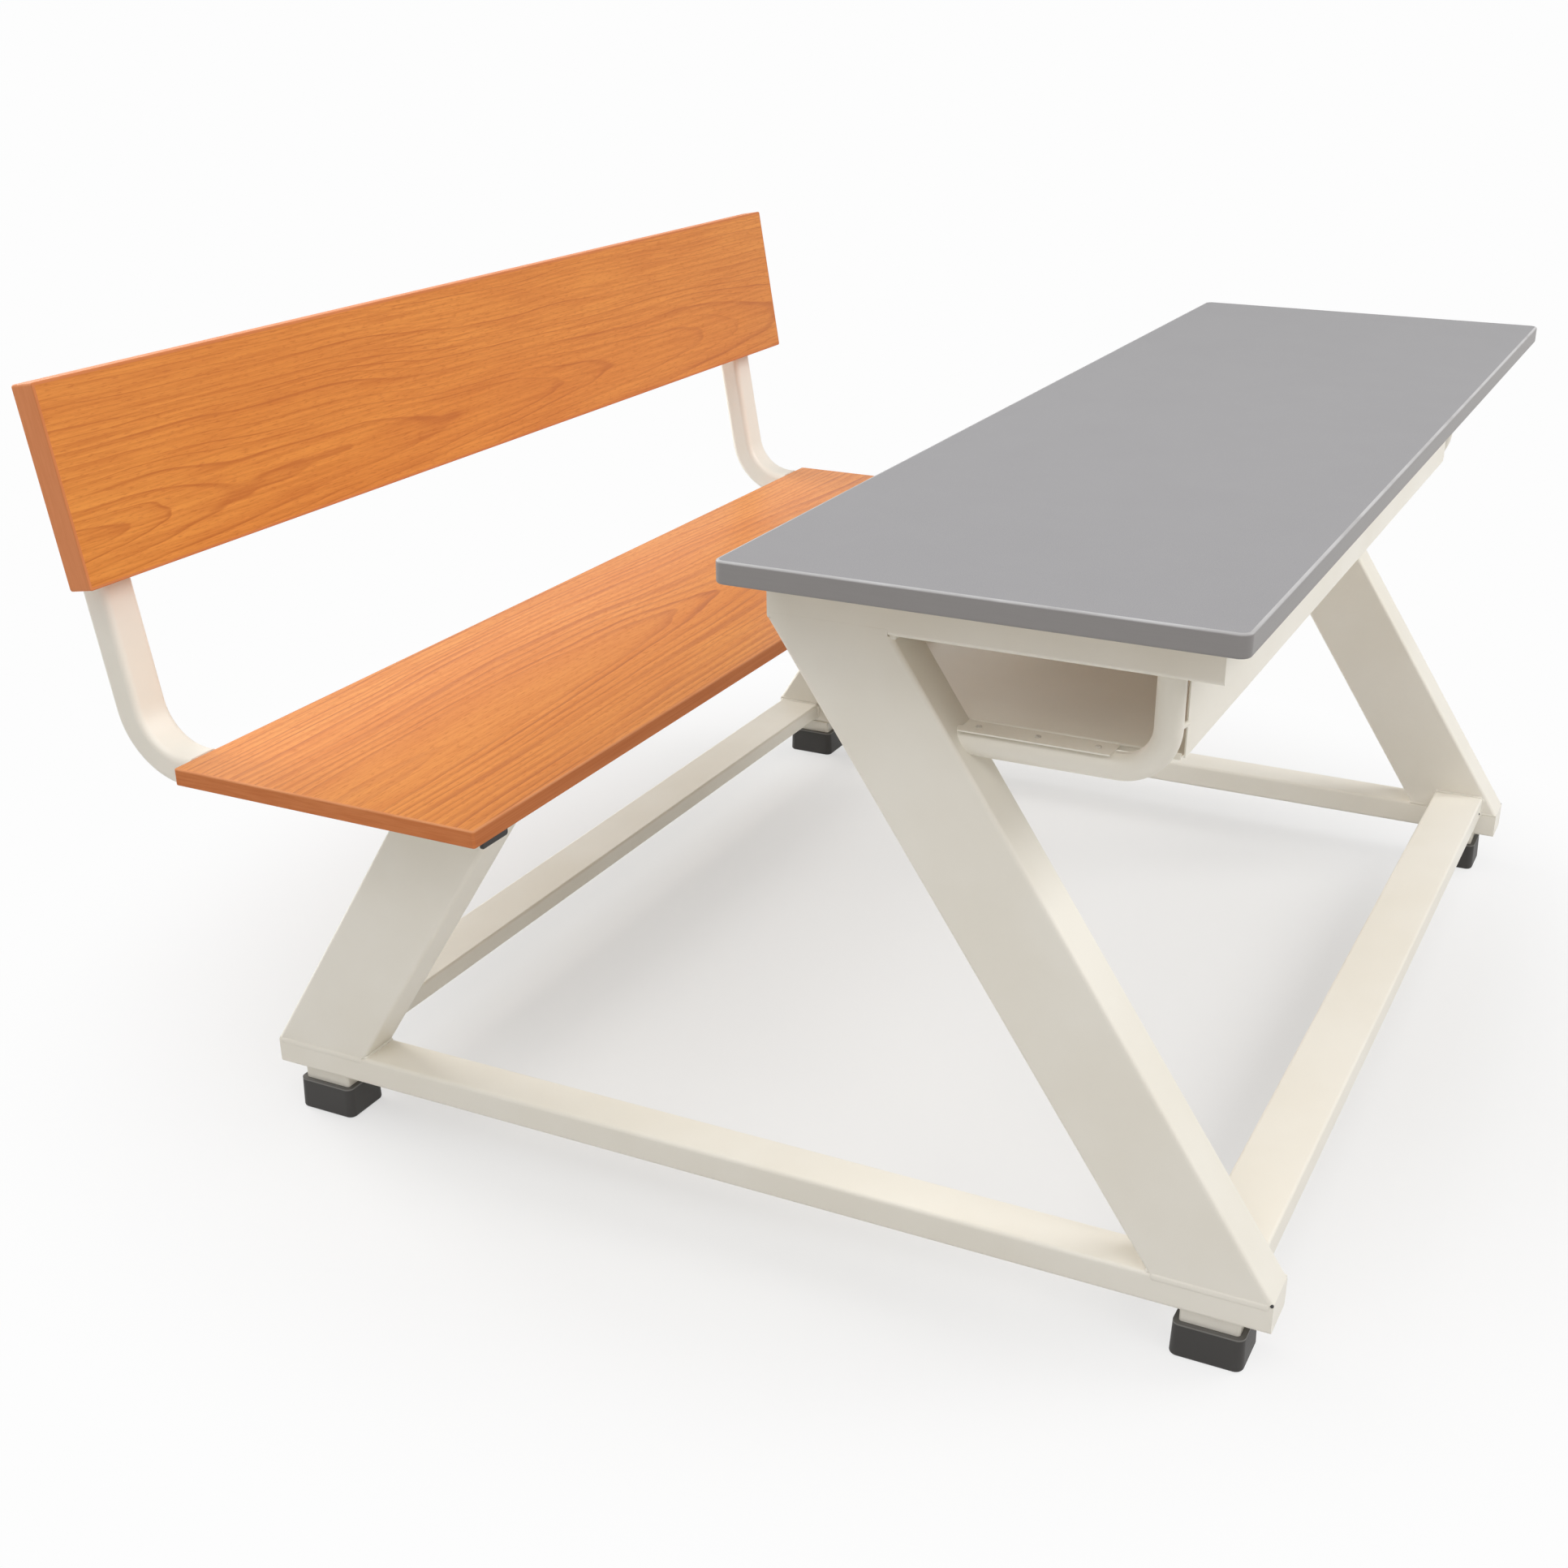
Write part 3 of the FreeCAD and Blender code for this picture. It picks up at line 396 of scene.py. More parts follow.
@dataclass(frozen=True)
class WoodLaminate:
    """Laminate with a plain-sawn grain: growth rings round a tilted pith, cut by the board's face.

    The rings are r = sqrt((v - pith_v)^2 + (w + depth + tilt * u)^2), with u along the board, v across it and w
    out of its face, so they cross the face in long nested tongues with straighter grain beside them.
    """

    name: str
    centre: tuple[float, float, float]
    turn_x: float
    pith_v: float
    depth: float
    tilt: float
    pitch: float
    seed: float
    light: Colour
    middle: Colour
    late: Colour
    line: Colour
    line_from: float = 0.78
    streaks: float = 260.0
    backing: Colour = srgb(206, 193, 172)
    backing_cloud: Colour = srgb(196, 182, 160)
    backing_below: float = -1.0
    roughness: float = 0.38
    specular: float = 0.3
    relief: float = 0.00004
    wander_across: float = 0.06
    wander_deep: float = 0.034
    ripple: float = 0.0045
    unevenness: float = 2.6

    def rings(self, graph: Graph, place: Value) -> tuple[Value, Value, Value]:
        """Works out the growth rings: a tone that deepens through each ring and a thin dark line at its end.

        Args:
            graph: The material's graph.
            place: The board's own coordinates.

        Returns:
            The shares of the line and of the tone from 0 to 1, and the share of the backing sheet.
        """
        split = graph.node("ShaderNodeSeparateXYZ", None, {0: place})
        along, across, out = (graph.out(split, axis) for axis in ("X", "Y", "Z"))
        shifted = graph.out(graph.node("ShaderNodeVectorMath", {"operation": "ADD"},
                                       {0: place, 1: (self.seed, self.seed * 0.37, 0.0)}))
        wander = graph.noise(graph.stretched(shifted, (1.6, 5.0, 0.0)), 1.0, 2.0, 0.4)
        ripple = graph.noise(graph.stretched(shifted, (7.0, 38.0, 0.0)), 1.0, 2.0, 0.5)
        side = across - self.pith_v + (wander - 0.5) * self.wander_across
        deep = out + along * self.tilt + self.depth + (wander - 0.5) * self.wander_deep
        radius = graph.math("SQRT", side * side + deep * deep) + (ripple - 0.5) * self.ripple
        steady = graph.node("ShaderNodeCombineXYZ", None, {0: radius * (0.45 / self.pitch), 1: self.seed, 2: 0.0})
        uneven = graph.noise(graph.out(steady), 1.0, 1.0)
        count = radius / self.pitch + (uneven - 0.5) * self.unevenness
        share = graph.math("FRACT", count)
        chance = graph.out(graph.node("ShaderNodeTexWhiteNoise", {"noise_dimensions": "1D"},
                                      {"W": graph.math("FLOOR", count)}))
        broken = graph.noise(graph.stretched(shifted, (4.0, 70.0, 0.0)), 1.0, 3.0, 0.6)
        kept = graph.step(broken, 0.34, 0.62) * 0.75 + 0.25
        fade = 1.0 - graph.step(share, 0.94, 1.0)
        tone = graph.step(share, 0.1, 0.94) * fade * (chance * 0.45 + 0.2)
        line = graph.step(share, self.line_from, 0.93) * fade * kept * (chance * 0.55 + 0.25)
        return line, tone, graph.below(out, self.backing_below)

    def build(self) -> bpy.types.Material:
        """Builds the finish.

        Returns:
            The material.
        """
        material, graph = new_material(self.name)
        place = graph.coordinates(self.centre, self.turn_x)
        line, tone, backed = self.rings(graph, place)
        fine = graph.noise(graph.stretched(place, (7.0, self.streaks, self.streaks)), 1.0, 4.0, 0.7)
        pores = graph.noise(graph.stretched(place, (80.0, 620.0, 620.0)), 1.0, 2.0, 0.6)
        pore = graph.step(pores, 0.52, 0.70)
        cloud = graph.noise(graph.stretched(place, (2.5, 11.0, 11.0)), 1.0, 3.0)
        ground = graph.blend(graph.step(cloud, 0.3, 0.7), self.light, self.middle)
        streaked = graph.blend(graph.step(fine, 0.36, 0.66) * 0.5 + tone * 0.4, ground, self.late)
        ringed = graph.blend(line, streaked, self.line)
        pored = graph.blend(pore * 0.42, ringed, self.line)
        sheet = graph.blend(cloud * 0.5, self.backing, self.backing_cloud)
        graph.surface(
            Base_Color=graph.blend(backed, pored, sheet),
            Roughness=(fine - 0.5) * 0.10 + pore * 0.08 + self.roughness,
            Specular_IOR_Level=self.specular,
            Normal=graph.bump(fine * 0.3 - pore * 0.5 - line * 0.2, self.relief))
        return material


@dataclass(frozen=True)
class ShoeRubber:
    """Moulded charcoal rubber with a fine matt skin, and a painted highlight as a pale line along the rim."""

    name: str = "shoe_rubber"
    colour: Colour = srgb(52, 50, 48)
    wear_and_painted_arris: Colour = srgb(67, 65, 62)
    # Colour of the painted highlight along the rim, then its height and half width.
    rim: Colour = srgb(126, 124, 120)
    rim_highlight_height: float = 0.0322
    rim_highlight_half: float = 0.0008
    roughness: float = 0.55
    relief: float = 0.00012

    def build(self) -> bpy.types.Material:
        """Builds the finish.

        Returns:
            The material.
        """
        material, graph = new_material(self.name)
        place = graph.coordinates()
        # Painted highlight: a thin pale line round the shoe at the rim's height.
        off_rim_highlight = graph.math("ABSOLUTE", graph.height(place) - self.rim_highlight_height)
        line = 1.0 - graph.step(off_rim_highlight, self.rim_highlight_half * 0.4, self.rim_highlight_half * 1.6)
        skin = graph.noise(place, 1600.0, 2.0, 0.6)
        scuffs = graph.step(graph.noise(graph.stretched(place, (60.0, 60.0, 240.0)), 1.0, 4.0, 0.7), 0.55, 0.75)
        tone = graph.math("MAXIMUM", scuffs * 0.3 + (skin - 0.5) * 0.25, 0.0)
        graph.surface(
            Base_Color=graph.blend(line * 0.8, graph.blend(tone, self.colour, self.wear_and_painted_arris), self.rim),
            Roughness=(skin - 0.5) * 0.2 + scuffs * 0.1 + self.roughness,
            Normal=graph.bump(skin * 0.5 + line * 0.5, self.relief))
        return material


@dataclass(frozen=True)
class BlackPlastic:
    """Injection-moulded black plastic with a fine spark texture."""

    name: str = "black_plastic"
    colour: Colour = srgb(34, 33, 33)
    dusty: Colour = srgb(52, 51, 50)
    roughness: float = 0.45
    relief: float = 0.00006

    def build(self) -> bpy.types.Material:
        """Builds the finish.

        Returns:
            The material.
        """
        material, graph = new_material(self.name)
        place = graph.coordinates()
        spark = graph.noise(place, 2200.0, 2.0, 0.6)
        graph.surface(
            Base_Color=graph.blend(graph.step(spark, 0.4, 0.75), self.colour, self.dusty),
            Roughness=(spark - 0.5) * 0.2 + self.roughness,
            Normal=graph.bump(spark, self.relief))
        return material


@dataclass(frozen=True)
class ZincPlate:
    """Dull zinc plate, cloudy and slightly bluish."""

    name: str = "zinc_plate"
    colour: Colour = srgb(176, 178, 184)
    cloud: Colour = srgb(142, 143, 147)
    metallic: float = 0.6
    roughness: float = 0.45
    relief: float = 0.00002

    def build(self) -> bpy.types.Material:
        """Builds the finish.

        Returns:
            The material.
        """
        material, graph = new_material(self.name)
        place = graph.coordinates()
        clouds = graph.noise(place, 480.0, 3.0, 0.6)
        graph.surface(
            Base_Color=graph.blend(graph.step(clouds, 0.3, 0.7), self.colour, self.cloud),
            Metallic=self.metallic,
            Roughness=(clouds - 0.5) * 0.25 + self.roughness,
            Normal=graph.bump(clouds, self.relief))
        return material


class Shell:
    """Collects grid surfaces and turns them into one mesh piece."""

    def __init__(self) -> None:
        """Starts with no surfaces."""
        self.points: list[np.ndarray] = []
        self.faces: list[np.ndarray] = []
        self.count = 0

    def add(self, grid: np.ndarray) -> None:
        """Adds a surface given on a grid whose last column joins the first.

        Args:
            grid: Points of shape (rows, columns, 3).
        """
        rows, columns = grid.shape[:2]
        index = np.arange(rows * columns).reshape(rows, columns)
        right = np.roll(index, -1, axis=1)
        quads = np.stack([index[:-1], right[:-1], right[1:], index[1:]], axis=-1).reshape(-1, 4)
        self.points.append(grid.reshape(-1, 3))
        self.faces.append(quads + self.count)
        self.count += rows * columns

    def piece(self, name: str, slot: Slot, material: bpy.types.Material) -> bpy.types.Object:
        """Makes the piece, closes its poles and lets it ride on the frame.

        Args:
            name: The piece's name.
            slot: The record's slot for its finish; not used.
            material: Its material.

        Returns:
            The new object.
        """
        mesh = bpy.data.meshes.new(name)
        mesh.from_pydata(np.concatenate(self.points).tolist(), [], np.concatenate(self.faces).tolist())
        work = bmesh.new()
        work.from_mesh(mesh)
        bmesh.ops.remove_doubles(work, verts=work.verts[:], dist=WELD_DISTANCE)
        bmesh.ops.recalc_face_normals(work, faces=work.faces[:])
        for face in work.faces:
            face.smooth = True
        work.to_mesh(mesh)
        work.free()
        mesh.set_sharp_from_angle(angle=SHARP_FROM)
        mesh.materials.append(material)
        made = bpy.data.objects.new(name, mesh)
        bpy.context.scene.collection.objects.link(made)
        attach(made, "root")
        log.info("piece %s with %d faces", name, len(mesh.polygons))
        return made


def frame_from(axis: np.ndarray) -> np.ndarray:
    """Gives two unit vectors across an axis, and the axis.

    Args:
        axis: The direction.

    Returns:
        A matrix whose rows are the two sides and the axis.
    """
    axis = axis / np.linalg.norm(axis)
    helper = np.array([1.0, 0, 0]) if abs(axis[0]) < 0.9 else np.array([0, 1.0, 0])
    first = np.cross(helper, axis)
    first /= np.linalg.norm(first)
    return np.stack([first, np.cross(axis, first), axis])


@dataclass
class ScrewSet:
    """Pan-head screws with a cross recess, which stand for one group of the frame's plain screws."""

    node: str
    seats: np.ndarray
    outward: np.ndarray
    head_radius: float
    head_height: float
    shank_radius: float
    length: float
    around: int = 40
    crown_share: float = 0.62
    crown_drop: float = 0.10
    rim_base: float = 0.35
    tip: float = 0.002
    recess_arm: float = 0.11
    recess_reach: float = 0.5
    recess_soft: float = 0.035
    recess_depth: float = 0.6

    def profile(self) -> tuple[np.ndarray, np.ndarray]:
        """Gives the screw's half outline from the middle of the head to the tip of the shank.

        Returns:
            Radii and heights; heights are from the seat, outwards.
        """
        crown = np.linspace(0.0, self.crown_share, 12)
        crown_rise = self.head_height * (1.0 - self.crown_drop * (crown / self.crown_share) ** 2)
        turn = np.linspace(0.12, 1.0, 7) * math.pi / 2
        rim = self.crown_share + (1.0 - self.crown_share) * np.sin(turn)
        rim_rise = self.head_height * (self.rim_base + (1.0 - self.crown_drop - self.rim_base) * np.cos(turn))
        radii = np.concatenate([crown, rim]) * self.head_radius
        radii = np.concatenate([radii, [self.head_radius, self.shank_radius], [self.shank_radius] * 2, [0.0]])
        shank = [0.0, 0.0, -self.tip, -self.length + self.tip, -self.length]
        rises = np.concatenate([crown_rise, rim_rise, shank])
        return radii, rises

    def build(self, material: bpy.types.Material) -> bpy.types.Object:
        """Builds all screws of the set: the outline is turned round the axis, and two crossed bars sink into the crown.

        Args:
            material: The screws' material.

        Returns:
            The piece.
        """
        radii, rises = self.profile()
        angles = np.linspace(0, 2 * math.pi, self.around, endpoint=False)
        x = radii[:, None] * np.cos(angles)
        y = radii[:, None] * np.sin(angles)
        z = np.repeat(rises[:, None], self.around, axis=1)
        arm, reach, soft = (self.head_radius * share
                            for share in (self.recess_arm, self.recess_reach, self.recess_soft))
        bars = [1 / (1 + np.exp((np.abs(a) - arm) / soft)) / (1 + np.exp((np.abs(b) - reach) / soft))
                for a, b in ((x, y), (y, x))]
        z = z - np.where(z > 0, np.maximum(*bars) * self.head_height * self.recess_depth, 0.0)
        shell = Shell()
        axes = frame_from(self.outward)
        local = np.stack([x, y, z], axis=-1) @ axes
        for seat in self.seats:
            shell.add(local + seat)
        made = shell.piece(self.node + "_detailed", Slot.ZINC, material)
        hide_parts(self.node)
        return made


@dataclass
class WeldBeads:
    """Painted weld beads where tubes meet: a round bead with even ripples, half sunk in the joint."""

    radius: float = 0.0021
    ripple: float = 0.0048
    spacing: float = 0.0012
    around: int = 10
    swell: float = 0.10
    pressing: float = 0.72
    proud: float = 0.0001
    sink: float = 0.003
    strip_half: float = 0.0030
    shell: Shell = field(default_factory=Shell)

    def run(self, start: Sequence[float], end: Sequence[float], radius: float | None = None,
            flat: Sequence[float] | None = None) -> None:
        """Adds a straight bead whose radius ripples along it and closes at both ends.

        Args:
            start: First point of the joint line.
            end: Last point.
            radius: The bead's radius, if not the usual one.
            flat: A direction in which the bead is pressed flat, if any.
        """
        first, last = np.array(start, float), np.array(end, float)
        size = self.radius if radius is None else radius
        length = float(np.linalg.norm(last - first))
        count = max(8, int(length / self.spacing))
        place = np.linspace(0.0, 1.0, count)
        phase = place * length / self.ripple
        from_end = np.minimum(place, 1 - place) * length
        taper = np.sqrt(np.clip(1 - (1 - from_end / size) ** 2, 0, 1))
        taper = np.where(from_end >= size, 1.0, taper)
        thick = size * taper * (1 + self.swell * np.abs(np.sin(math.pi * phase)))
        sides = frame_from(last - first)
        angles = np.linspace(0, 2 * math.pi, self.around, endpoint=False)
        ring = np.cos(angles)[:, None] * sides[0] + np.sin(angles)[:, None] * sides[1]
        if flat is not None:
            press = np.array(flat, float)
            ring = ring - self.pressing * (ring @ press)[:, None] * press
        middle = first + place[:, None] * (last - first)
        self.shell.add(middle[:, None, :] + thick[:, None, None] * ring[None])

    def ground(self, start: Sequence[float], end: Sequence[float], out: Sequence[float]) -> None:
        """Adds a joint that was filled and ground flush: a flat strip a hair proud of the face, sunk into the tubes.

        The outline is a rectangle across the joint, carried straight from start to end and closed at a point there.

        Args:
            start: First point of the joint line, on the face.
            end: Last point.
            out: The face's direction.
        """
        half = self.strip_half
        first, last, face = np.array(start, float), np.array(end, float), np.array(out, float)
        side = np.cross(face, (last - first) / np.linalg.norm(last - first))
        outline = np.array([(self.proud, -half), (self.proud, half), (-self.sink, half), (-self.sink, -half)])
        ring = outline[:, :1] * face + outline[:, 1:] * side
        inner = np.repeat(ring.mean(axis=0)[None], len(ring), axis=0)
        self.shell.add(np.stack([first + inner, first + ring, last + ring, last + inner]))

    def loop(self, corners: Sequence[Sequence[float]], radius: float | None = None) -> None:
        """Adds beads along every side of a closed outline."""
        for index, corner in enumerate(corners):
            self.run(corner, corners[(index + 1) % len(corners)], radius)

    def ring(self, centre: Sequence[float], normal: Sequence[float], across: float, radius: float) -> None:
        """Adds a bead round a round tube.

        Args:
            centre: Middle of the joint.
            normal: The tube's direction.
            across: The tube's radius.
            radius: The bead's radius.
        """
        sides = frame_from(np.array(normal, float))
        count = max(24, int(2 * math.pi * across / self.spacing))
        turn = np.linspace(0, 2 * math.pi, count, endpoint=False)
        spoke = np.cos(turn)[:, None] * sides[0] + np.sin(turn)[:, None] * sides[1]
        thick = radius * (1 + self.swell * np.abs(np.sin(turn * across / self.ripple * math.pi)))
        angles = np.linspace(0, 2 * math.pi, self.around, endpoint=False)
        outward = across + thick[:, None, None] * np.cos(angles)[None, :, None]
        along = thick[:, None, None] * np.sin(angles)[None, :, None]
        grid = np.array(centre, float) + spoke[:, None, :] * outward + sides[2] * along
        self.shell.add(np.concatenate([grid, grid[:1]]))


@dataclass
class SideFrame:
    """One end of the desk: rails, legs, stubs, tray loop and post, with their welds."""

    sign: int
    outer_x: float = 0.573
    inner_x: float = 0.527
    toe_y: float = -0.57615
    heel_y: float = 0.42885
    rail_under: float = 0.047
    rail_top: float = 0.076
    top_rail_under: float = 0.587
    desk_leg_lean: float = math.radians(33.9)
    desk_leg_span: float = 0.10602
    seat_leg_span: float = 0.10434
    seat_leg_front: float = 0.14675
    seat_leg_top: float = 0.355
    stub_middle_x: float = 0.547
    stub_half: tuple[float, float] = (0.020, 0.026)
    stub_places: tuple[float, float] = (-0.52465, 0.37885)
    loop_radius: float = 0.011
    loop_y: float = -0.44715
    panel_edge: float = 0.5255
    panel_y: float = -0.4551
    tack_levels: tuple[float, float] = (0.5385, 0.5830)
    tack_reach: tuple[float, float] = (0.016, 0.0030)
    inset: float = 0.0006
    trim: float = 0.003
    rounding: float = 0.0026
    thin_bead: float = 0.0011
    thick_bead: float = 0.0032
    ridge_bead: float = 0.0030
    stub_bead: float = 0.0016
    loop_bead: float = 0.0017
    tack_bead: float = 0.0022

    def corners(self, y_low: float, y_high: float, z: float) -> list[tuple[float, float, float]]:
        """Gives the outline of a leg's end on a level face.

        Args:
            y_low: Front of the leg there.
            y_high: Rear of the leg there.
            z: The face's height.

        Returns:
            The four corners in order.
        """
        low, high = self.sign * (self.inner_x + self.inset), self.sign * (self.outer_x - self.inset)
        return [(low, y_low, z), (high, y_low, z), (high, y_high, z), (low, y_high, z)]

    def weld_legs(self, beads: WeldBeads) -> None:
        """Adds the welds of the two legs: beads, strips ground flush on the outside and pressed ridges on the rail.

        Args:
            beads: The collection that they join.
        """
        rise = (self.top_rail_under - self.rail_top) * math.tan(self.desk_leg_lean)
        desk_rear, desk_span = self.toe_y + self.desk_leg_span, self.desk_leg_span
        top_rear = desk_rear + rise
        seat_rear = self.seat_leg_front + self.seat_leg_span
        thin, usual, rounding = self.thin_bead, None, self.rounding
        joints = (((self.toe_y, desk_rear, self.rail_top), {2: usual, 3: thin}, -rounding),
                  ((top_rear - desk_span, top_rear, self.top_rail_under), {0: self.thick_bead, 3: thin}, rounding),
                  ((self.heel_y - self.seat_leg_span, self.heel_y, self.rail_top), {0: usual, 3: thin}, -rounding),
                  ((self.seat_leg_front, seat_rear, self.seat_leg_top),
                   {0: usual, 1: thin, 2: usual, 3: thin}, None))
        x = self.sign * self.outer_x
        for (front, rear, level), welded, shift in joints:
            outline = self.corners(front, rear, level)
            for index, radius in welded.items():
                beads.run(outline[index], outline[(index + 1) % len(outline)], radius)
            start, end = front + self.trim, rear - self.trim
            if shift is not None:
                beads.ground((x, start, level + shift), (x, end, level + shift), (self.sign, 0, 0))
            if level == self.rail_top:
                ridge = level - self.ridge_bead
                beads.run((x, start, ridge), (x, end, ridge), self.ridge_bead, (1, 0, 0))

    def weld(self, beads: WeldBeads) -> None:
        """Adds this end's welds: legs, stubs, tray loop and the tacks of the front panel.

        Args:
            beads: The collection that they join.
        """
        self.weld_legs(beads)
        half_x, half_y = self.stub_half
        x = self.sign * self.stub_middle_x
        for middle in self.stub_places:
            beads.loop([(x + turn_x * half_x, middle + turn_y * half_y, self.rail_under)
                        for turn_x, turn_y in ((-1, -1), (1, -1), (1, 1), (-1, 1))], self.stub_bead)
        loop_x = self.sign * (self.outer_x + self.inner_x) / 2
        beads.ring((loop_x, self.loop_y, self.top_rail_under), (0, 0, 1), self.loop_radius, self.loop_bead)
        reach_x, reach_y = self.tack_reach
        for level in self.tack_levels:
            beads.run((self.sign * self.panel_edge, self.panel_y, level),
                      (self.sign * (self.panel_edge + reach_x), self.panel_y + reach_y, level), self.tack_bead)


@dataclass
class CrossBars:
    """The welds of the two bars that join the ends."""

    inner_x: float = 0.527
    nodes: tuple[str, str] = ("front_crossbar", "rear_crossbar")
    bead: float = 0.0018

    def weld(self, beads: WeldBeads) -> None:
        """Adds a bead round each end of each bar.

        Args:
            beads: The collection that they join.
        """
        for node in self.nodes:
            low, high = (np.array(corner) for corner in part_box(node))
            for sign in SIDES:
                x = sign * self.inner_x
                beads.loop([(x, low[1], low[2]), (x, high[1], low[2]), (x, high[1], high[2]), (x, low[1], high[2])],
                           self.bead)


@dataclass
class TrayFolds:
    """The rolled folds along the inner edges of the tray's two flanges."""

    edge_x: float = 0.5357
    level: float = 0.5169
    run: tuple[float, float] = (-0.4380, -0.2852)
    half_width: float = 0.0022
    height: float = 0.0013
    end_sharpness: int = 24
    rows: int = 60
    around: int = 20

    def build(self, material: bpy.types.Material) -> bpy.types.Object:
        """Builds both folds: an ellipse carried along the flange, shrinking to a point at both ends.

        Args:
            material: The tray's paint.

        Returns:
            The piece.
        """
        share = np.linspace(0.0, 1.0, self.rows)
        size = np.clip(1.0 - np.abs(2.0 * share - 1.0) ** self.end_sharpness, 0.0, 1.0)
        y = self.run[0] + share * (self.run[1] - self.run[0])
        angles = np.linspace(0, 2 * math.pi, self.around, endpoint=False)
        shell = Shell()
        for sign in SIDES:
            x = sign * self.edge_x + size[:, None] * self.half_width * np.cos(angles)
            z = self.level + size[:, None] * self.height * np.sin(angles)
            shell.add(np.stack([x, np.repeat(y[:, None], self.around, axis=1), z], axis=-1))
        return shell.piece("tray_flange_folds", Slot.IVORY, material)


@dataclass
class VentHoleShade:
    """Painted shade: small dark balls at the vent holes at the toes of the rails and the ends of the front crossbar,
    standing for the shade inside the holes.
    """

    toe: tuple[float, float, float] = (0.5718, -0.5745, 0.0752)
    bar: tuple[float, float, float] = (0.5110, -0.5567, 0.0820)
    radius: float = 0.0016
    rows: int = 10
    around: int = 18

    def build(self, material: bpy.types.Material) -> bpy.types.Object:
        """Builds the dark balls of painted shade: each is a ball, given by its height angle and its turn, half sunk in
        the steel.

        Args:
            material: The black plastic that paints the holes' shade.

        Returns:
            The piece.
        """
        rise = np.linspace(-math.pi / 2, math.pi / 2, self.rows)[:, None]
        turn = np.linspace(0, 2 * math.pi, self.around, endpoint=False)[None]
        ball = self.radius * np.stack([np.cos(rise) * np.cos(turn), np.cos(rise) * np.sin(turn),
                                       np.sin(rise) + 0.0 * turn], axis=-1)
        shell = Shell()
        for sign in SIDES:
            for spot in (self.toe, self.bar):
                shell.add(ball + np.array(spot) * (sign, 1, 1))
        return shell.piece("vent_hole_shade", Slot.BLACK, material)


@dataclass
class Fasteners:
    """The four groups of screws."""

    leg_x: float = 0.550
    post_x: float = 0.601
    desk_y: tuple[float, float] = (-0.39615, -0.28615)
    desk_z: float = 0.587
    seat_y: tuple[float, float] = (0.29109, 0.39109)
    seat_z: float = 0.358
    tray_y: tuple[float, float, float] = (-0.39415, -0.34592, -0.29769)
    tray_z: float = 0.5172
    back_lean: float = BACK_LEAN
    back_rear: tuple[float, float] = (0.53221, 0.63470)
    back_behind: float = 0.033
    back_half: float = 0.045

    def build(self, material: bpy.types.Material, pale: bpy.types.Material) -> None:
        """Builds every group.

        Args:
            material: The wood screws' material.
            pale: The tray screws' material.
        """
        down, up = np.array([0, 0, -1.0]), np.array([0, 0, 1.0])
        sine, cosine = math.sin(self.back_lean), math.cos(self.back_lean)
        rear = np.array([0, cosine, -sine])
        climb = np.array([0, sine, cosine])
        desk = [(sign * self.leg_x, y, self.desk_z) for sign in SIDES for y in self.desk_y]
        seat = [(sign * self.post_x, y, self.seat_z) for sign in SIDES for y in self.seat_y]
        tray = [(sign * self.leg_x, y, self.tray_z) for sign in SIDES for y in self.tray_y]
        behind = np.array([0.0, *self.back_rear]) + rear * self.back_behind
        back = [behind + np.array([sign * self.post_x, 0.0, 0.0]) + climb * self.back_half * half
                for sign in SIDES for half in SIDES]
        wood = dict(head_radius=0.005, head_height=0.003, shank_radius=0.0025)
        ScrewSet("desktop_screws", np.array(desk), down, length=0.060, **wood).build(material)
        ScrewSet("seat_screws", np.array(seat), down, length=0.022, **wood).build(material)
        ScrewSet("backrest_screws", np.array(back), rear, length=0.045, **wood).build(material)
        ScrewSet("tray_screws", np.array(tray), up, head_radius=0.0025, head_height=0.0014, shank_radius=0.0015,
                 length=0.008, around=28).build(pale)


@dataclass(frozen=True)
class Softbox:
    """A square soft lamp: where it hangs, the point that it faces, its side and its power in watts."""

    name: str
    place: tuple[float, float, float]
    aim: tuple[float, float, float]
    size: float
    power: float

    def build(self) -> None:
        """Hangs the lamp."""
        light = bpy.data.lights.new(self.name, "AREA")
        light.size = self.size
        light.energy = self.power
        made = bpy.data.objects.new(self.name, light)
        made.location = self.place
        made.rotation_euler = (Vector(self.aim) - Vector(self.place)).to_track_quat("-Z", "Y").to_euler()
        bpy.context.scene.collection.objects.link(made)


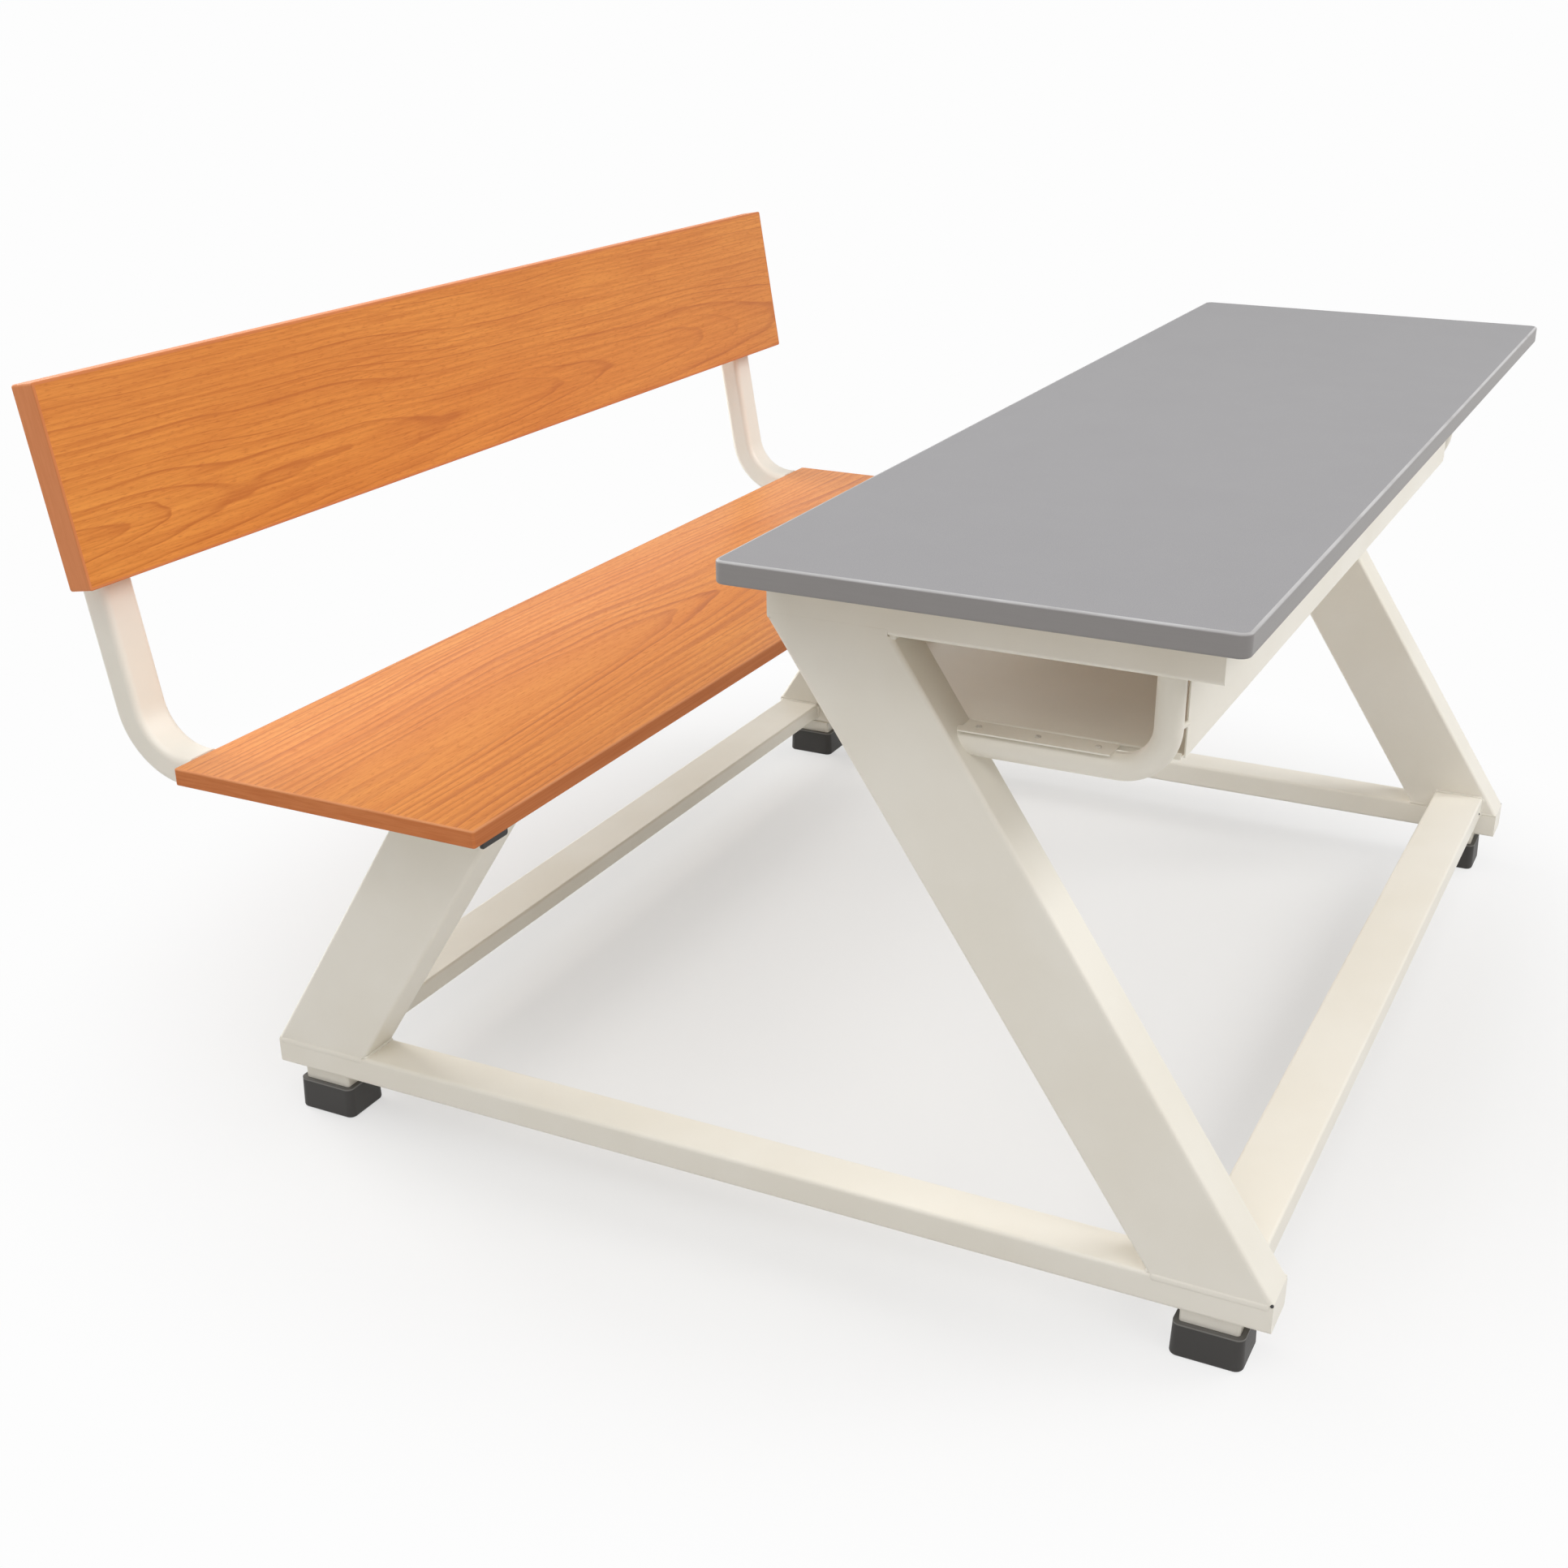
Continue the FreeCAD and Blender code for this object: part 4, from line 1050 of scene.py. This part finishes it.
@dataclass
class Studio:
    """Floor, soft light and camera."""

    floor_half: float = 9.0
    floor_level: float = -0.0003
    world_strength: float = 0.13
    lens: float = 45.68
    shift: tuple[float, float] = (-0.0331, 0.0642)
    place: tuple[float, float, float] = (-1.89346, -0.81864, 1.06257)
    azimuth: float = math.radians(-64.43)
    elevation: float = math.radians(25.32)
    roll: float = math.radians(0.10)
    sensor: float = 36.0
    sight: float = 60.0
    white: Colour = srgb(253, 253, 253)
    warm: Colour = srgb(253, 248, 238)
    matt: Colour = srgb(222, 221, 220)
    fade: tuple[float, float] = (0.42, 1.05)
    plain_near: float = 0.42
    lamps: tuple[Softbox, ...] = (
        Softbox("top_softbox", (-1.2, 0.1, 2.8), (-0.4, 0, 0.3), 2.4, 32.0),
        Softbox("desk_side_softbox", (1.5, -2.8, 2.8), (0, 0, 0.4), 2.2, 82.0),
        Softbox("desk_corner_softbox", (-1.8, -2.8, 2.8), (0, 0, 0.4), 2.2, 33.0),
        Softbox("end_softbox", (-3.2, -0.3, 2.4), (0, 0, 0.4), 2.2, 24.0),
        Softbox("bench_side_softbox", (0.3, 3.2, 2.2), (0, 0, 0.5), 2.4, 50.0),
        Softbox("bench_low_softbox", (0.3, 3.6, 1.1), (0, 0, 0.5), 2.0, 70.0),
    )

    def floor(self) -> None:
        """Lays the pale floor, which fades to plain white away from the object."""
        span = np.linspace(-self.floor_half, self.floor_half, 3)
        x, y = np.meshgrid(span, span)
        points = np.stack([x, y, np.full_like(x, self.floor_level)], axis=-1).reshape(-1, 3)
        quads = [(0, 1, 4, 3), (1, 2, 5, 4), (3, 4, 7, 6), (4, 5, 8, 7)]
        mesh = bpy.data.meshes.new("floor")
        mesh.from_pydata(points.tolist(), [], quads)
        material, graph = new_material("pale_floor")
        away = graph.out(graph.node("ShaderNodeVectorMath", {"operation": "LENGTH"}, {0: graph.coordinates()}), 1)
        share = graph.step(away, *self.fade) * (1.0 - self.plain_near) + self.plain_near
        matt = graph.node("ShaderNodeBsdfDiffuse", None, {"Color": self.matt})
        plain = graph.node("ShaderNodeEmission", None, {"Color": self.white, "Strength": 1.0})
        mixed = graph.node("ShaderNodeMixShader", None, {
            0: graph.seen() * share, 1: graph.out(matt), 2: graph.out(plain)})
        graph.node("ShaderNodeOutputMaterial", None, {"Surface": graph.out(mixed)})
        mesh.materials.append(material)
        made = bpy.data.objects.new("floor", mesh)
        bpy.context.scene.collection.objects.link(made)

    def sky(self) -> None:
        """Sets the even surrounding light, white where it is seen."""
        world = bpy.data.worlds.new("studio")
        bpy.context.scene.world = world
        graph = Graph(world)
        seen = graph.seen()
        tint = graph.blend(seen, self.warm, self.white)
        back = graph.node("ShaderNodeBackground", None, {
            "Color": tint, "Strength": seen * (1.0 - self.world_strength) + self.world_strength})
        graph.node("ShaderNodeOutputWorld", None, {"Surface": graph.out(back)})

    def camera(self) -> None:
        """Sets the camera at the photograph's place and angle."""
        data = bpy.data.cameras.new("camera")
        data.sensor_width = self.sensor
        data.lens = self.lens
        data.shift_x, data.shift_y = self.shift
        data.clip_end = self.sight
        forward = Vector((-math.sin(self.azimuth) * math.cos(self.elevation),
                          math.cos(self.azimuth) * math.cos(self.elevation), -math.sin(self.elevation)))
        made = bpy.data.objects.new("camera", data)
        turn = forward.to_track_quat("-Z", "Y").to_matrix() @ Matrix.Rotation(self.roll, 3, "Z")
        made.location = self.place
        made.rotation_euler = turn.to_euler()
        bpy.context.scene.collection.objects.link(made)
        bpy.context.scene.camera = made

    def build(self) -> None:
        """Builds the whole studio."""
        self.floor()
        self.sky()
        for lamp in self.lamps:
            lamp.build()
        self.camera()


def dress(materials: dict[str, bpy.types.Material]) -> None:
    """Gives every node of the frame its finish.

    Args:
        materials: Finishes by the record's slot, or by node name where a node has its own.
    """
    slots = {part["node"]: part["material_slot"] for part in frame["record"]["subparts"]}
    for name, item in frame["nodes"].items():
        finish = materials.get(name) or materials[slots[name]]
        for place in item.material_slots:
            place.material = finish
        log.info("finish %s on %s", finish.name, name)


def finishes() -> dict[str, bpy.types.Material]:
    """Builds the finishes.

    Returns:
        The materials by the record's slot, or by node name where a node has its own.
    """
    lean = math.pi / 2 - BACK_LEAN
    desk_middle, seat_middle, back_middle = (0.0, -0.3234, 0.653), (0.0, 0.28435, 0.384), (0.0, 0.5076, 0.6388)
    seat = WoodLaminate("seat_wood_laminate", seat_middle, 0.0,
                        pith_v=-0.02, depth=0.064, tilt=0.046, pitch=0.0092, seed=1.7,
                        light=srgb(230, 152, 72), middle=srgb(223, 141, 63),
                        late=srgb(205, 118, 47), line=srgb(174, 90, 38),
                        line_from=0.45, streaks=200.0, backing_below=-0.0155)
    back = WoodLaminate("backrest_wood_laminate", back_middle, lean,
                        pith_v=-0.045, depth=0.052, tilt=0.034, pitch=0.0054, seed=4.1,
                        light=srgb(229, 150, 68), middle=srgb(221, 139, 60),
                        late=srgb(191, 106, 40), line=srgb(181, 97, 38))
    # The third colour of each edge band is painted on its arris: a painted highlight on the seat and desk bands, a
    # darker tone on the backrest band.
    brown, streak, painted_arris = srgb(209, 129, 78), srgb(199, 117, 68), srgb(222, 152, 104)
    salmon, salmon_streak, edge = srgb(222, 144, 97), srgb(217, 138, 91), srgb(205, 126, 78)
    return {
        "ivory_paint": PowderCoat().build(),
        "grey_laminate": GreyLaminate().build(),
        "grey_edge": EdgeBand("grey_edge_band", srgb(142, 139, 138), srgb(137, 134, 133), srgb(186, 185, 186),
                              desk_middle, streaked=0.3).build(),
        "seat_board": seat.build(),
        "backrest_board": back.build(),
        "seat_edge_band": EdgeBand("seat_edge_band", brown, streak, painted_arris, seat_middle,
                                   roughness=0.52, specular=0.1).build(),
        "backrest_edge_band": EdgeBand("backrest_edge_band", salmon, salmon_streak, edge, back_middle, lean,
                                       roughness=0.52, specular=0.1).build(),
        "black_plastic": BlackPlastic().build(),
        "shoe_rubber": ShoeRubber().build(),
        "zinc_steel": ZincPlate().build(),
    }


def main() -> None:
    """Builds the looks in order."""
    logging.basicConfig(level=logging.INFO, format="%(message)s")
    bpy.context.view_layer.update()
    bpy.context.scene.view_settings.view_transform = "Standard"
    materials = finishes()
    ivory = materials[Slot.IVORY.value]
    pale = ZincPlate("pale_zinc_plate", srgb(214, 209, 199), srgb(197, 191, 181), 0.1).build()
    dress(materials)
    beads = WeldBeads()
    for sign in SIDES:
        SideFrame(sign).weld(beads)
    CrossBars().weld(beads)
    beads.shell.piece("weld_beads", Slot.IVORY, ivory)
    TrayFolds().build(ivory)
    # Dark balls that paint the shade inside the vent holes.
    VentHoleShade().build(materials[Slot.BLACK.value])
    Fasteners().build(materials[Slot.ZINC.value], pale)
    Studio().build()


if __name__ == "__main__":
    main()
